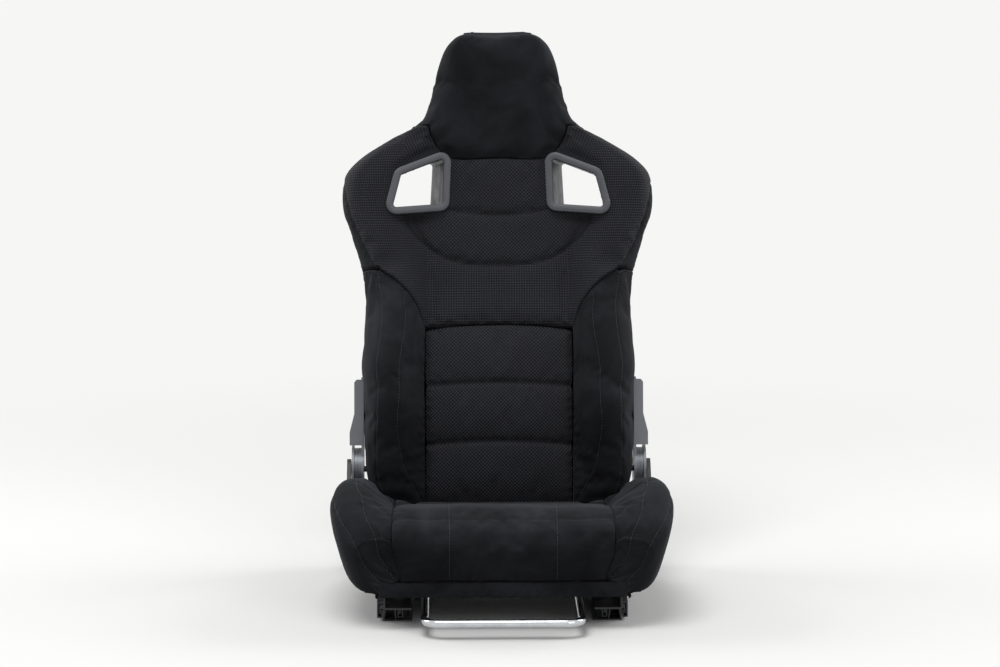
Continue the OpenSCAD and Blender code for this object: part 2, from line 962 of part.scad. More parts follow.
module bezel_front(side) {
    flange = 4.5;
    sleeve = 52;
    color(bezel_colour)
        on_back()
            on_opening(side)
                difference() {
                    union() {
                        linear_extrude(flange)
                            offset(r = bezel_rim)
                                opening_outline();
                        translate([0, 0, -sleeve])
                            linear_extrude(sleeve + flange)
                                offset(r = bezel_wall)
                                    opening_outline();
                    }
                    translate([0, 0, -sleeve - past])
                        linear_extrude(sleeve + flange + 2 * past)
                            opening_outline();
                }
}

// layer parallel to the shell's back around an opening, from depth to depth + deep
module shell_layer(side, depth, deep) {
    lean = [2.6, 0, -1.8];
    on_side(side)
        translate([opening_at[0] + 15, depth, opening_at[2]])
            rotate(lean)
                translate([-bezel_deep / 2, 0, -bezel_deep / 2])
                    cube([bezel_deep, deep, bezel_deep]);
}

module bezel_rear(side) {
    flange = 3.5;
    flange_depth = 60.9;
    sleeve_end = -52.5;
    color(bezel_colour)
        on_back()
            difference() {
                union() {
                    intersection() {
                        on_opening(side)
                            translate([0, 0, -bezel_deep])
                                linear_extrude(bezel_deep)
                                    offset(r = bezel_rim)
                                        opening_outline();
                        shell_layer(side, flange_depth, flange);
                    }
                    intersection() {
                        on_opening(side)
                            translate([0, 0, -bezel_deep])
                                linear_extrude(bezel_deep + sleeve_end)
                                    offset(r = bezel_wall)
                                        opening_outline();
                        shell_layer(side, -bezel_deep / 2, flange_depth + flange + bezel_deep / 2);
                    }
                }
                on_opening(side)
                    translate([0, 0, -bezel_deep - past])
                        linear_extrude(bezel_deep + 2 * past)
                            opening_outline();
            }
}

// ---- backrest frame ----

// tube along a path of points, with a ball at each bend
module tube_path(points, r) {
    for (i = [0 : len(points) - 2]) {
        a = points[i];
        d = points[i + 1] - a;
        translate(a)
            rotate([0, acos(d[2] / norm(d)), atan2(d[1], d[0])])
                cylinder(r = r, h = norm(d));
    }
    for (i = [1 : len(points) - 2])
        translate(points[i])
            sphere(r + 0.4);
}

// the bent tube that runs up one side, over the harness openings and down the other
module frame_tube() {
    path = [
        [frame_x, frame_y, 58], [frame_x, frame_y, 300], [214, frame_y, 420],
        [212, frame_y, 508], [104, 28, 578], [58, 22, 612], [56, 4, 676]
    ];
    other = [for (i = [len(path) - 1 : -1 : 0]) [-path[i][0], path[i][1], path[i][2]]];
    tube_path(concat(path, other), frame_r);
}

module back_frame() {
    boss_r = 9;
    color(black_steel)
        on_back()
            difference() {
                union() {
                    frame_tube();
                    for (side = [-1, 1], h = boss_z)
                        on_side(side)
                            rod_x(boss_r, frame_x, upper_plate_x - frame_x, frame_y, h);
                }
                for (side = [-1, 1], h = boss_z)
                    on_side(side)
                        rod_x(5, frame_x + 8, upper_plate_x - frame_x, frame_y, h);
            }
}

// bar between the two sides of the frame tube, coped to fit them
module crossbar(height, half, r) {
    color(black_steel)
        on_back()
            difference() {
                rod_x(r, -half, 2 * half, frame_y, height);
                frame_tube();
            }
}

// flat wires across the frame, which carry the padding
module lumbar_wires() {
    wire = 3;
    waves = 5;
    swing = 7;
    steps = 8 * waves;
    from = -frame_x + frame_r / 2;
    color(zinc)
        on_back()
            for (h = [95, 145, 195, 245, 290])
                translate([0, 28, h])
                    rotate([90, 0, 0])
                        linear_extrude(wire)
                            polygon(sheet([
                                for (i = [0 : steps])
                                    [lerp(from, -from, i / steps), swing * sin(360 * waves * i / steps)]
                            ], wire));
}

// ---- recliner ----

// plate that carries the backrest, with flanges on its front and rear edges
module recliner_upper(side) {
    top = 156;
    front = -28;
    rear = 50;
    flange_t = 3.5;
    foot = 40;
    color(zinc)
        on_back()
            on_side(side)
                difference() {
                    union() {
                        rod_x(disc_r, upper_plate_x, plate_t);
                        translate([upper_plate_x, 0, 0])
                            rotate([90, 0, 90])
                                linear_extrude(plate_t)
                                    polygon([
                                        [front, foot], [front - 2, 14], [34, 14], [rear, foot],
                                        [rear, top - 12], [rear - 12, top], [front + 4, top],
                                        [front, top - 4]
                                    ]);
                        translate([0, front + flange_t, 0])
                            rotate([90, 0, 0])
                                linear_extrude(flange_t)
                                    polygon([
                                        [upper_plate_x, foot], [254, foot], [254, 62],
                                        [246, 94], [246, top - 9], [242, top - 4],
                                        [upper_plate_x, top - 4]
                                    ]);
                        translate([upper_plate_x, rear - flange_t, foot + 12])
                            cube([11, flange_t, top - foot - 26]);
                    }
                    rod_x(rod_r + 1, upper_plate_x - past, plate_t + 2 * past);
                    for (h = boss_z)
                        rod_x(5, upper_plate_x - past, plate_t + 2 * past, frame_y, h);
                    rod_x(12, upper_plate_x - past, plate_t + 2 * past, 4, 98);
                }
}

module back_bolts() {
    color(zinc)
        on_back()
            for (side = [-1, 1], h = boss_z)
                on_side(side) {
                    rod_x(5, frame_x + 8, upper_plate_x + plate_t - frame_x - 8, frame_y, h);
                    difference() {
                        rod_x(8, upper_plate_x + plate_t, 5.5, frame_y, h);
                        translate([upper_plate_x + plate_t + 3, frame_y, h])
                            rotate([0, 90, 0])
                                cylinder(r = 4, h = 3.5, $fn = 6);
                    }
                }
}

module disc(x, bumps) {
    difference() {
        union() {
            rod_x(disc_r, x, disc_t);
            if (bumps > 0)
                for (i = [0 : bumps - 1])
                    rotate([360 * i / bumps, 0, 0])
                        rod_x(3, x + disc_t, 1.2, 0, disc_r * 0.7);
        }
        rod_x(rod_r + run_gap, x - past, disc_t + 2 * past + 2);
    }
}

module disc_moving(side) {
    color(grey_steel)
        on_back()
            on_side(side)
                disc(disc_x, 0);
}

module disc_fixed(side) {
    color(grey_steel)
        translate([0, hinge_y, hinge_h])
            on_side(side)
                disc(fixed_x, 0);
}

// bracket from the pan side up to the fixed disc
module recliner_lower(side) {
    step_x = pan_half;
    foot_z = 45;
    foot = [112, 206];
    out_x = lower_plate_x;
    color(zinc)
        on_side(side)
            difference() {
                union() {
                    translate([0, hinge_y, hinge_h])
                        rod_x(disc_r + 5, out_x, plate_t);
                    translate([out_x, 0, 0])
                        rotate([90, 0, 90])
                            linear_extrude(plate_t)
                                polygon([
                                    [foot[0], shelf_z], [foot[1], shelf_z],
                                    [foot[1], shelf_z + 20], [hinge_y + disc_r + 5, hinge_h],
                                    [hinge_y - disc_r - 5, hinge_h], [foot[0], shelf_z + 20]
                                ]);
                    translate([step_x, foot[0], shelf_z])
                        cube([out_x + past - step_x, foot[1] - foot[0], plate_t]);
                    translate([step_x, foot[0], foot_z])
                        cube([plate_t, foot[1] - foot[0], shelf_z + plate_t - foot_z]);
                }
                translate([0, hinge_y, hinge_h])
                    rod_x(rod_r + 1, out_x - past, plate_t + 2 * past);
                for (y = [132, 186])
                    rod_x(5, step_x - past, plate_t + 2 * past, y, 64);
            }
}

module bracket_bolts() {
    color(zinc)
        for (side = [-1, 1], y = [132, 186])
            on_side(side) {
                rod_x(5, pan_half, plate_t, y, 64);
                difference() {
                    rod_x(8, pan_half + plate_t, 5.5, y, 64);
                    translate([pan_half + plate_t + 3, y, 64])
                        rotate([0, 90, 0])
                            cylinder(r = 4, h = 3.5, $fn = 6);
                }
            }
}

module sync_rod() {
    color(zinc)
        translate([0, hinge_y, hinge_h])
            rod_x(rod_r, -lever_x - lever_t, 2 * (lever_x + lever_t));
}

// outline of the lever seen from the side, pointing along -Y
module lever_outline(hub, tip, length) {
    hull() {
        circle(hub);
        translate([-length * 0.35, 0]) circle(lerp(hub, tip, 0.6));
    }
    hull() {
        translate([-length * 0.35, 0]) circle(lerp(hub, tip, 0.6));
        translate([-length, 0]) circle(tip);
    }
}

module at_lever(side) {
    droop = 32;
    on_side(side)
        translate([lever_x, hinge_y, hinge_h])
            rotate([droop, 0, 0])
                children();
}

module release_lever(side) {
    color(black_steel)
        at_lever(side)
            difference() {
                rotate([90, 0, 90])
                    linear_extrude(lever_t)
                        lever_outline(17, 7, lever_len);
                rod_x(rod_r, -past, lever_t + 2 * past);
            }
}

module lever_grip(side) {
    start = 0.45;
    color([0.06, 0.06, 0.06])
        at_lever(side)
            difference() {
                translate([-1.2, 0, 0])
                    rotate([90, 0, 90])
                        linear_extrude(lever_t + 5)
                            hull() {
                                translate([-lever_len * start - 12, 0]) circle(11);
                                translate([-lever_len + 1, 0]) circle(10);
                            }
                rotate([90, 0, 90])
                    linear_extrude(lever_t)
                        lever_outline(17, 7, lever_len);
            }
}

lower_rail(-1);  // lower_rail_left
lower_rail(1);  // lower_rail_right
rail_stops();
ball_cage(-1);  // ball_cage_left
ball_cage(1);  // ball_cage_right
bearing_balls(-1);  // bearing_balls_left
bearing_balls(1);  // bearing_balls_right
upper_rail(-1);  // upper_rail_left
upper_rail(1);  // upper_rail_right
pan_side(-1);  // pan_side_left
pan_side(1);  // pan_side_right
cross_tube(tube_front_y, front_tube_z);  // cross_tube_front
cross_tube(tube_rear_y, tube_z);  // cross_tube_rear
front_pan();
zigzag_springs();
rail_bolts();
rail_nuts();
bar_studs();
cushion_core();
cushion_centre();
cushion_skirt();
cushion_bolster(-1);  // cushion_bolster_left
cushion_bolster(1);  // cushion_bolster_right
recliner_lower(-1);  // recliner_lower_left
recliner_lower(1);  // recliner_lower_right
disc_fixed(-1);  // disc_fixed_left
disc_fixed(1);  // disc_fixed_right
bracket_bolts();
slide_bar();
lock_plates();
sync_rod();
release_lever(-1);  // release_lever_left
release_lever(1);  // release_lever_right
lever_grip(-1);  // lever_grip_left
lever_grip(1);  // lever_grip_right
back_frame();
crossbar(66, frame_x, 8);  // crossbar_lower
crossbar(398, 214, 8);  // crossbar_upper
lumbar_wires();
lumbar_pad();
back_bolster(-1);  // back_bolster_left
back_bolster(1);  // back_bolster_right
shoulder_pad();
headrest_pad();
rear_shell();
bezel_front(-1);  // bezel_front_left
bezel_front(1);  // bezel_front_right
bezel_rear(-1);  // bezel_rear_left
bezel_rear(1);  // bezel_rear_right
recliner_upper(-1);  // recliner_upper_left
recliner_upper(1);  // recliner_upper_right
disc_moving(-1);  // disc_moving_left
disc_moving(1);  // disc_moving_right
back_bolts();
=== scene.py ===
import math

import bpy
import numpy as np
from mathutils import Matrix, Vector
from mathutils.bvhtree import BVHTree


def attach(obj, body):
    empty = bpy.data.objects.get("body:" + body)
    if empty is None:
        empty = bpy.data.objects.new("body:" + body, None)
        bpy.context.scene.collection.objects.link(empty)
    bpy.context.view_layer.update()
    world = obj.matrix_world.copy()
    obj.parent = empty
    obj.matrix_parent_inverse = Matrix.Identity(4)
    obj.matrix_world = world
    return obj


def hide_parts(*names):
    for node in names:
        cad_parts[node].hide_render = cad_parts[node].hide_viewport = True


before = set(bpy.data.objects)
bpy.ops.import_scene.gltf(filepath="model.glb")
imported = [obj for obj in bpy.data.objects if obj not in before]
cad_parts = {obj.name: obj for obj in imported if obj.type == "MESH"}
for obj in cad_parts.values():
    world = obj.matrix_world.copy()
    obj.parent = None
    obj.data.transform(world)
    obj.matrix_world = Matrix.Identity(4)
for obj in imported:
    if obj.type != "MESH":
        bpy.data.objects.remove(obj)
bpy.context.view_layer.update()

scene = bpy.context.scene
mm = 0.001

imagePoints = {
    "left": 328.0,
    "right": 672.0,
    "top": 33.0,
    "bottom": 629.0,
    "headSeam": (498.5, 158.0),
    "bezelLeft": (419.5, 184.0),
    "bezelRight": (577.5, 183.0),
    "innerArc": (498.2, 213.5),
    "outerArc": (498.3, 265.0),
    "lumbarTop": (498.8, 323.5),
    "upperChannel": (500.0, 382.5),
    "lowerChannel": (500.0, 440.5),
    "bolsterCrestSeam": (398.5, 400.0),
    "bolsterSideSeam": (377.5, 380.0),
    "cushionSeamLeft": (450.5, 560.0),
    "cushionSeamRight": (560.0, 560.0),
    "lobeSeam": (365.0, 514.0),
    "lobeSideSeam": (337.5, 514.0),
    "slideBar": (500.5, 623.5),
    "bracketLeft": (357.5, 425.0),
}

cameraSetup = {
    "aim": (-0.0007, 0.0, 0.4384),
    "distance": 5.78,
    "elevation": 10.0,
    "turn": -1.0,
    "lens": 126.0,
    "frame": (1000, 667),
}


# camera on a line through the aim, that far back, above the horizon and round by the two angles
def makeCamera(setup):
    up, turn = math.radians(setup["elevation"]), math.radians(setup["turn"])
    ahead = Vector((-math.sin(turn) * math.cos(up), math.cos(turn) * math.cos(up), -math.sin(up)))
    data = bpy.data.cameras.new("camera")
    data.lens = setup["lens"]
    data.sensor_width = 36.0
    data.sensor_fit = "AUTO"
    data.clip_end = 40.0
    camera = bpy.data.objects.new("camera", data)
    camera.location = Vector(setup["aim"]) - ahead * setup["distance"]
    camera.rotation_euler = ahead.to_track_quat("-Z", "Y").to_euler()
    scene.collection.objects.link(camera)
    scene.camera = camera
    bpy.context.view_layer.update()
    return camera


camera = makeCamera(cameraSetup)


# start and direction of the ray from the camera through a point of the photograph's frame
def rayThrough(point):
    x, y = point
    width, height = cameraSetup["frame"]
    longSide = max(width, height)
    lens = camera.data
    ray = Vector(
        (
            x - width / 2 + lens.shift_x * longSide,
            height / 2 - y + lens.shift_y * longSide,
            -longSide * lens.lens / lens.sensor_width,
        )
    )
    return camera.matrix_world.translation, (camera.matrix_world.to_3x3() @ ray).normalized()


# where the ray through a point of the photograph meets the surface, or the place nearest to the ray
def placeOn(tree, point):
    start, direction = rayThrough(point)
    hit = tree.ray_cast(start, direction)
    if hit[0] is not None:
        return hit[0]
    tries = [tree.find_nearest(start + direction * d) for d in np.linspace(4.5, 7.0, 251)]
    return min(tries, key=lambda found: found[3])[0]


# places in the photograph's frame of an array of points, by the camera's own axes
def toPixels(points):
    width, height = cameraSetup["frame"]
    longSide = max(width, height)
    lens = camera.data
    inverse = np.array(camera.matrix_world.inverted())
    seen = points @ inverse[:3, :3].T + inverse[:3, 3]
    scale = longSide * lens.lens / lens.sensor_width / -seen[:, 2]
    x = width / 2 + seen[:, 0] * scale - lens.shift_x * longSide
    y = height / 2 - seen[:, 1] * scale + lens.shift_y * longSide
    return np.stack([x, y], 1)


# an sRGB hex colour as the linear colour that a shader takes
def toLinear(code):
    parts = [int(code[i : i + 2], 16) / 255 for i in (1, 3, 5)]
    return tuple(p / 12.92 if p <= 0.04045 else ((p + 0.055) / 1.055) ** 2.4 for p in parts) + (1.0,)


# adds a node; settings are its properties or inputs by name, links its inputs fed from other sockets
def addNode(tree, kind, links=None, **settings):
    node = tree.nodes.new(kind)
    for name, value in settings.items():
        if hasattr(node, name):
            setattr(node, name, value)
        else:
            node.inputs[name.replace("_", " ")].default_value = value
    for name, socket in (links or {}).items():
        tree.links.new(socket, node.inputs[name])
    return node


# an empty material with an output node
def newMaterial(name):
    material = bpy.data.materials.new(name)
    material.use_nodes = True
    material.node_tree.nodes.clear()
    return material, material.node_tree


studio = {
    "floor": "#e6e6e5",
    # what the floor throws back at the seat; darker than it looks, as under a stage lit from above
    "bounce": "#6f6f6e",
    "backdrop": "#f6f6f5",
    # the floor's own shading fades into the plain backdrop between these distances, in metres
    "fade": (0.75, 2.1),
    "ambient": 0.29,
    "key": {"at": (-0.7, -1.7, 4.6), "size": 2.4, "power": 128},
    "fill": {"at": (2.4, -3.6, 2.6), "size": 2.6, "power": 36},
    "rimLeft": {"at": (-2.8, 0.9, 2.0), "size": 1.8, "power": 50},
    "rimRight": {"at": (2.8, 0.9, 2.0), "size": 1.8, "power": 50},
}


# a node that gives off a plain colour, and the share that is seen by the camera or in mirrors
def plainLight(tree, kind, colour):
    rays = addNode(tree, "ShaderNodeLightPath")
    seen = addNode(
        tree, "ShaderNodeMath", {0: rays.outputs["Is Camera Ray"], 1: rays.outputs["Is Glossy Ray"]},
        operation="MAXIMUM",
    )
    return addNode(tree, kind, Color=toLinear(colour), Strength=1.0).outputs[0], seen.outputs[0]


# pale floor that keeps the shadow near the seat and turns into the plain backdrop further off
def makeFloor(setup):
    bpy.ops.mesh.primitive_plane_add(size=60)
    floor = bpy.context.object
    floor.name = "floor"
    material, tree = newMaterial("paintedFloor")
    place = addNode(tree, "ShaderNodeTexCoord").outputs["Object"]
    distance = addNode(tree, "ShaderNodeVectorMath", {0: place}, operation="LENGTH")
    near, far = setup["fade"]
    fade = addNode(
        tree, "ShaderNodeMapRange", {"Value": distance.outputs["Value"]},
        interpolation_type="SMOOTHSTEP", From_Min=near, From_Max=far,
    )
    plain, seen = plainLight(tree, "ShaderNodeEmission", setup["backdrop"])
    share = addNode(tree, "ShaderNodeMath", {0: fade.outputs[0], 1: seen}, operation="MULTIPLY")
    colour = addNode(
        tree, "ShaderNodeMixRGB", {"Fac": seen},
        Color1=toLinear(setup["bounce"]), Color2=toLinear(setup["floor"]),
    )
    paint = addNode(tree, "ShaderNodeBsdfPrincipled", {"Base Color": colour.outputs[0]}, Roughness=0.85)
    both = addNode(tree, "ShaderNodeMixShader", {0: share.outputs[0], 1: paint.outputs[0], 2: plain})
    addNode(tree, "ShaderNodeOutputMaterial", {"Surface": both.outputs[0]})
    floor.data.materials.append(material)


# white surroundings: soft light on the object, the plain backdrop where they are seen
def makeWorld(setup):
    world = bpy.data.worlds.new("studio")
    scene.world = world
    world.use_nodes = True
    tree = world.node_tree
    tree.nodes.clear()
    plain, seen = plainLight(tree, "ShaderNodeBackground", setup["backdrop"])
    ambient = addNode(tree, "ShaderNodeBackground", Color=toLinear("#ffffff"), Strength=setup["ambient"])
    both = addNode(tree, "ShaderNodeMixShader", {0: seen, 1: ambient.outputs[0], 2: plain})
    addNode(tree, "ShaderNodeOutputWorld", {"Surface": both.outputs[0]})


# four large soft lamps, each turned to the middle of the seat
def makeLamps(setup):
    for name in ("key", "fill", "rimLeft", "rimRight"):
        lamp = setup[name]
        data = bpy.data.lights.new(name, "AREA")
        data.size = lamp["size"]
        data.energy = lamp["power"]
        light = bpy.data.objects.new(name, data)
        light.location = lamp["at"]
        towards = Vector((0, 0, 0.45)) - Vector(lamp["at"])
        light.rotation_euler = towards.to_track_quat("-Z", "Y").to_euler()
        scene.collection.objects.link(light)


makeFloor(studio)
makeWorld(studio)
makeLamps(studio)
scene.view_settings.view_transform = "Standard"
print("camera, floor and lamps are ready")

hinge = (160, 176)  # place and height of the recline joint
lean = math.radians(12)

backrest = {
    "halfWidth": 262,
    "bolsterDepth": 62,
    "lumbarHalf": 125,
    # heights of the lower and the upper end, and how far the head's cover stands over the upper one
    "foot": -62,
    "head": 741,
    "crown": 3,
    # height above the hinge, change of the half width
    "width": [
        (-62, -60), (-20, -40), (30, -34.5), (140, -33.5), (176, -31), (220, -35), (280, -37),
        (340, -29), (400, -11.5), (440, 1), (475, 2.5), (505, -3.5), (530, -27.5), (560, -77),
        (582, -116), (600, -135), (640, -150), (690, -163), (717, -174), (734, -190), (741, -204),
    ],
    # height, depth of the centre's front
    "front": [
        (-62, -30), (-30, -41), (20, -48), (110, -58), (200, -50), (245, -40), (330, -25),
        (450, -22), (560, -33), (650, -54), (698, -66), (731, -64), (741, -50),
    ],
    # height, share of the bolsters' depth
    "bolster": [
        (-62, 0.14), (-20, 0.3), (30, 0.6), (90, 0.95), (150, 1), (230, 0.93), (290, 0.72),
        (350, 0.5), (430, 0.38), (510, 0.3), (570, 0.12), (620, 0.04), (741, 0.02),
    ],
    "back": [
        (-62, -14), (28, -14), (85, 22), (105, 25), (120, 25), (400, 25), (420, 25), (450, 25),
        (600, 8), (700, -12), (741, -24),
    ],
    "roll": [(-62, 16), (60, 26), (400, 30), (500, 28), (580, 22), (700, 20), (741, 12)],
    # part of the way to the edge, height of the border over the bolsters and under the head
    "bolsterBorder": [(0, 238), (0.19, 274), (0.47, 306), (1, 338)],
    "headBorder": [(0, 529), (0.37, 529), (0.55, 546), (0.68, 560), (0.86, 575), (1, 584), (2, 587)],
}
cushion = {
    "halfWidth": 277,
    "lip": 187,
    "crest": 217,
    "centreHalf": 176,
    "bandHalf": 198,
    "bandFront": -262.0,
    "low": 56,
    "bandTop": 81,
    # place, change of height or of half width
    "centreLine": [(-262, -13), (-238, -4), (-205, 0), (-100, -19), (0, -42), (60, -58), (112, -72)],
    "crestLine": [
        (-276, -78), (-262, -50), (-235, -27), (-190, -8), (-135, 0), (-60, -9), (20, -36),
        (70, -62), (97, -82),
    ],
    "outerLine": [
        (-276, -54), (-262, -32), (-240, -14), (-200, -4), (-150, 0), (-60, -6), (0, -16),
        (60, -32), (97, -41),
    ],
}


# the value that part t of the way from a to b
def lerp(a, b, t):
    return a + (b - a) * t


# 3 t squared less 2 t cubed: a rise from 0 to 1 that starts and ends flat
def smoothStep(t):
    t = np.clip(t, 0, 1)
    return t * t * (3 - 2 * t)


# smooth line through (place, value) knots: a cubic in each gap, sloped at a knot as its neighbours lie
def alongKnots(knots, t):
    place, value = np.array(knots, float).T
    slope = np.zeros(len(place))
    slope[1:-1] = (value[2:] - value[:-2]) / (place[2:] - place[:-2])
    slope[0] = (value[1] - value[0]) / (place[1] - place[0])
    slope[-1] = (value[-1] - value[-2]) / (place[-1] - place[-2])
    t = np.clip(t, place[0], place[-1])
    i = np.clip(np.searchsorted(place, t, side="right") - 1, 0, len(place) - 2)
    gap = place[i + 1] - place[i]
    s = (t - place[i]) / gap
    flat = lerp(value[i], value[i + 1], s * s * (3 - 2 * s))
    return flat + gap * s * (1 - s) * (slope[i] * (1 - s) - slope[i + 1] * s)


# metres in the shared frame of a place in the backrest's own upright frame, in millimetres
def fromBack(x, depth, height):
    y = hinge[0] + height * math.sin(lean) + depth * math.cos(lean)
    z = hinge[1] + height * math.cos(lean) - depth * math.sin(lean)
    return np.stack(np.broadcast_arrays(x, y, z), -1) * mm


# the inverse of fromBack
def toBack(points):
    y, z = points[..., 1] / mm - hinge[0], points[..., 2] / mm - hinge[1]
    height = y * math.sin(lean) + z * math.cos(lean)
    depth = y * math.cos(lean) - z * math.sin(lean)
    return points[..., 0] / mm, depth, height


# the backrest's half width at a height: its widest plus the change there
def halfWidth(h):
    return backrest["halfWidth"] + alongKnots(backrest["width"], h)


# the half width less the rolled edge
def flatHalf(h):
    return halfWidth(h) - alongKnots(backrest["roll"], h)


# depth of the cover's back at a height, by its knots
def backDepth(h):
    return alongKnots(backrest["back"], h)


# share of the bolster's depth at s, the part of the way to the edge: a soft step, then a slow fall
def swell(s):
    rise = smoothStep((s - 0.5) / 0.24)
    fall = 1 - 0.32 * np.clip((s - 0.74) / 0.26, 0, None) ** 2
    return np.where(s < 0.74, rise, fall)


# the centre's depth less the bolsters' swelling there, which comes forwards
def frontDepth(x, h):
    deep = backrest["bolsterDepth"] * alongKnots(backrest["bolster"], h)
    return alongKnots(backrest["front"], h) - deep * swell(np.abs(x) / halfWidth(h))


# place on the backrest's front: q up to 1 is the part of the way to the rolled edge, and from 1 to 2 the part
# of the quarter turn round it
def frontPoint(q, h):
    flat = flatHalf(h)
    side, q = np.sign(q), np.abs(q)
    turn = np.radians(90 * np.clip(q - 1, 0, None))
    x = np.where(q < 1, q * flat, flat + alongKnots(backrest["roll"], h) * np.sin(turn))
    face = frontDepth(np.minimum(x, flat), h)
    depth = lerp(backDepth(h) - 2, face, np.cos(turn))
    return x * side, depth, h


# the lumbar panel's upper edge: a shallow parabola across it
def lumbarTop(x):
    return 246 - 8 * (x / backrest["lumbarHalf"]) ** 2


# height of the cushion's centre at a place: its lip plus the change there
def cushionTop(y):
    return cushion["lip"] + alongKnots(cushion["centreLine"], y)


# quads of a grid whose columns run to the right and rows upwards, seen from outside
def gridQuads(rows, cols):
    i = np.arange(rows * cols).reshape(rows, cols)
    return np.stack([i[:-1, :-1], i[:-1, 1:], i[1:, 1:], i[1:, :-1]], -1).reshape(-1, 4)


# closed mesh of a front grid, the matching back grid and walls along every free edge; keep picks the quads
def closedPad(front, back, keep=None):
    rows, cols = front.shape[:2]
    count = rows * cols
    quads = gridQuads(rows, cols)
    if keep is not None:
        quads = quads[keep]
    start, end = quads.ravel(), np.roll(quads, -1, 1).ravel()
    free = ~np.isin(start * count + end, end * count + start)
    start, end = start[free], end[free]
    walls = np.stack([end, start, start + count, end + count], 1)
    faces = np.concatenate([quads, walls, quads[:, ::-1] + count])
    points = np.concatenate([front.reshape(-1, 3), back.reshape(-1, 3)])
    return points, faces


# a mesh object of the points that its faces use, and the index of each point kept
def makeMesh(name, points, faces, smooth=True):
    faces = np.asarray(faces)
    used, index = np.unique(faces, return_inverse=True)
    mesh = bpy.data.meshes.new(name)
    mesh.from_pydata(points[used].tolist(), [], index.reshape(faces.shape).tolist())
    mesh.polygons.foreach_set("use_smooth", [smooth] * len(faces))
    piece = bpy.data.objects.new(name, mesh)
    scene.collection.objects.link(piece)
    return piece, used


# the places of a mesh's vertices, in metres
def meshPoints(mesh):
    flat = np.empty(len(mesh.vertices) * 3, np.float32)
    mesh.vertices.foreach_get("co", flat)
    return flat.reshape(-1, 3)


# writes the cloth's own coordinates, in metres, on every corner
def addUv(piece, corners):
    layer = piece.data.uv_layers.new(name="cloth")
    layer.uv.foreach_set("vector", np.ascontiguousarray(corners, dtype=np.float32).ravel())


# one number for each vertex, which the materials read by name
def addAttribute(piece, name, values):
    layer = piece.data.attributes.new(name, "FLOAT", "POINT")
    layer.data.foreach_set("value", np.ascontiguousarray(values, dtype=np.float32))


# parts of the way from 0 to 1 about a step apart, closer in the low and high borders that are tucked in
def stations(length, step, low=0.0, high=0.0):
    close = np.array([0, 0.04, 0.14, 0.3, 0.52, 0.78])
    first, last = close * low / length, 1 - close[::-1] * high / length
    inner = np.linspace(low / length, 1 - high / length, max(3, int(length / step)))
    return np.unique(np.round(np.concatenate([first, inner, last]), 9))


# distance along a grid's rows or columns from their first place, over the scale
def lengths(points, axis, scale=1):
    step = np.linalg.norm(np.diff(points, axis=axis), axis=-1) / scale
    pad = [(0, 0), (0, 0)]
    pad[axis] = (1, 0)
    return np.cumsum(np.pad(step, pad), axis=axis)


# vectors over their own lengths
def unit(vectors):
    return vectors / np.maximum(np.linalg.norm(vectors, axis=-1, keepdims=True), 1e-12)


# unit outward normals of a grid, from the differences of its neighbours, evened out with theirs
def normals(points):
    out = unit(np.cross(np.gradient(points, axis=1), np.gradient(points, axis=0)))
    for _ in range(3):
        wide = np.pad(out, [(1, 1), (1, 1), (0, 0)], "edge")
        out = unit(wide[:-2, 1:-1] + wide[2:, 1:-1] + wide[1:-1, :-2] + wide[1:-1, 2:] + 2 * out)
    return out


# distance of each place in a plane from a polyline, and how far along the line its nearest point lies
def distanceTo(line, flat):
    line = np.array(line, float)
    best = np.full(flat.shape[:-1], 1e9)
    along = np.zeros(flat.shape[:-1])
    run = 0.0
    for a, b in zip(line[:-1], line[1:]):
        step = b - a
        size = np.linalg.norm(step)
        t = np.clip(((flat - a) @ step) / size**2, 0, 1)
        off = np.linalg.norm(flat - a - t[..., None] * step, axis=-1)
        nearer = off < best
        best = np.where(nearer, off, best)
        along = np.where(nearer, run + t * size, along)
        run += size
    return best, along


# finely sampled smooth line through a few places
def smoothLine(points, step=4.0):
    points = np.array(points, float)
    run = np.concatenate([[0], np.cumsum(np.linalg.norm(np.diff(points, axis=0), axis=1))])
    at = np.linspace(0, run[-1], max(3, int(run[-1] / step)))
    return np.stack([alongKnots(list(zip(run, points[:, k])), at) for k in range(points.shape[1])], 1)


# how far a surface sinks at a distance from a border that is rolled in on a quarter circle
def rolledIn(distance, radius):
    if radius <= 0:
        return np.zeros_like(distance)
    t = np.clip(1 - distance / radius, 0, 1)
    return radius * (1 - np.sqrt(1 - t**2))


# gathers beside a seam: a sum of three sines along it, fading away from it, shifted by the seed
def ripple(along, off, wave, seed):
    a = 2 * math.pi * along / wave
    crest = np.sin(a + seed) + 0.6 * np.sin(2.37 * a + 1.7 * seed) + 0.5 * np.sin(0.43 * a + 3.1 * seed)
    return crest * np.exp(-((off / (0.9 * wave)) ** 2))


padding = {
    # how dark the painted shade in the line of each kind of seam is, and how much the cover gathers beside it
    "kinds": {"joined": (0.9, 0.9), "sewn": (0.35, 0.3), "fold": (0.0, 0.3)},
    "step": 2.5,
    "coarseStep": 9.0,
    "pressure": 4.0,
    "frames": 20,
    "seamDepth": 3.4,
    "seamWidth": 4.2,
    "gather": 0.5,
    # length of the gathers along a seam and along a border
    "seamWave": 13,
    "borderWave": 15,
    # half width of the painted shade line in a seam and along a border, and how dark the border's painted shade
    # is
    "seamLine": 1.6,
    "borderLine": 1.4,
    "borderDark": 0.6,
}
pads = {}


# notes a pad: surface(u, v) gives front, back and its flat pattern in mm; size is its width and length, borders
# the radii to which it is rolled in at the left, right, low and high side, negative where it isn't sewn there;
# seams are its lines, each with how deep it pulls, from 0 to 1, and how it is made
def describePad(name, surface, size, borders, seams=(), cap=7.0, grow=1.0, **more):
    pads[name] = {
        "surface": surface, "size": size, "borders": borders, "cap": cap, "grow": grow,
        "seams": [(smoothLine(line), *rest) for line, *rest in seams], **more,
    }


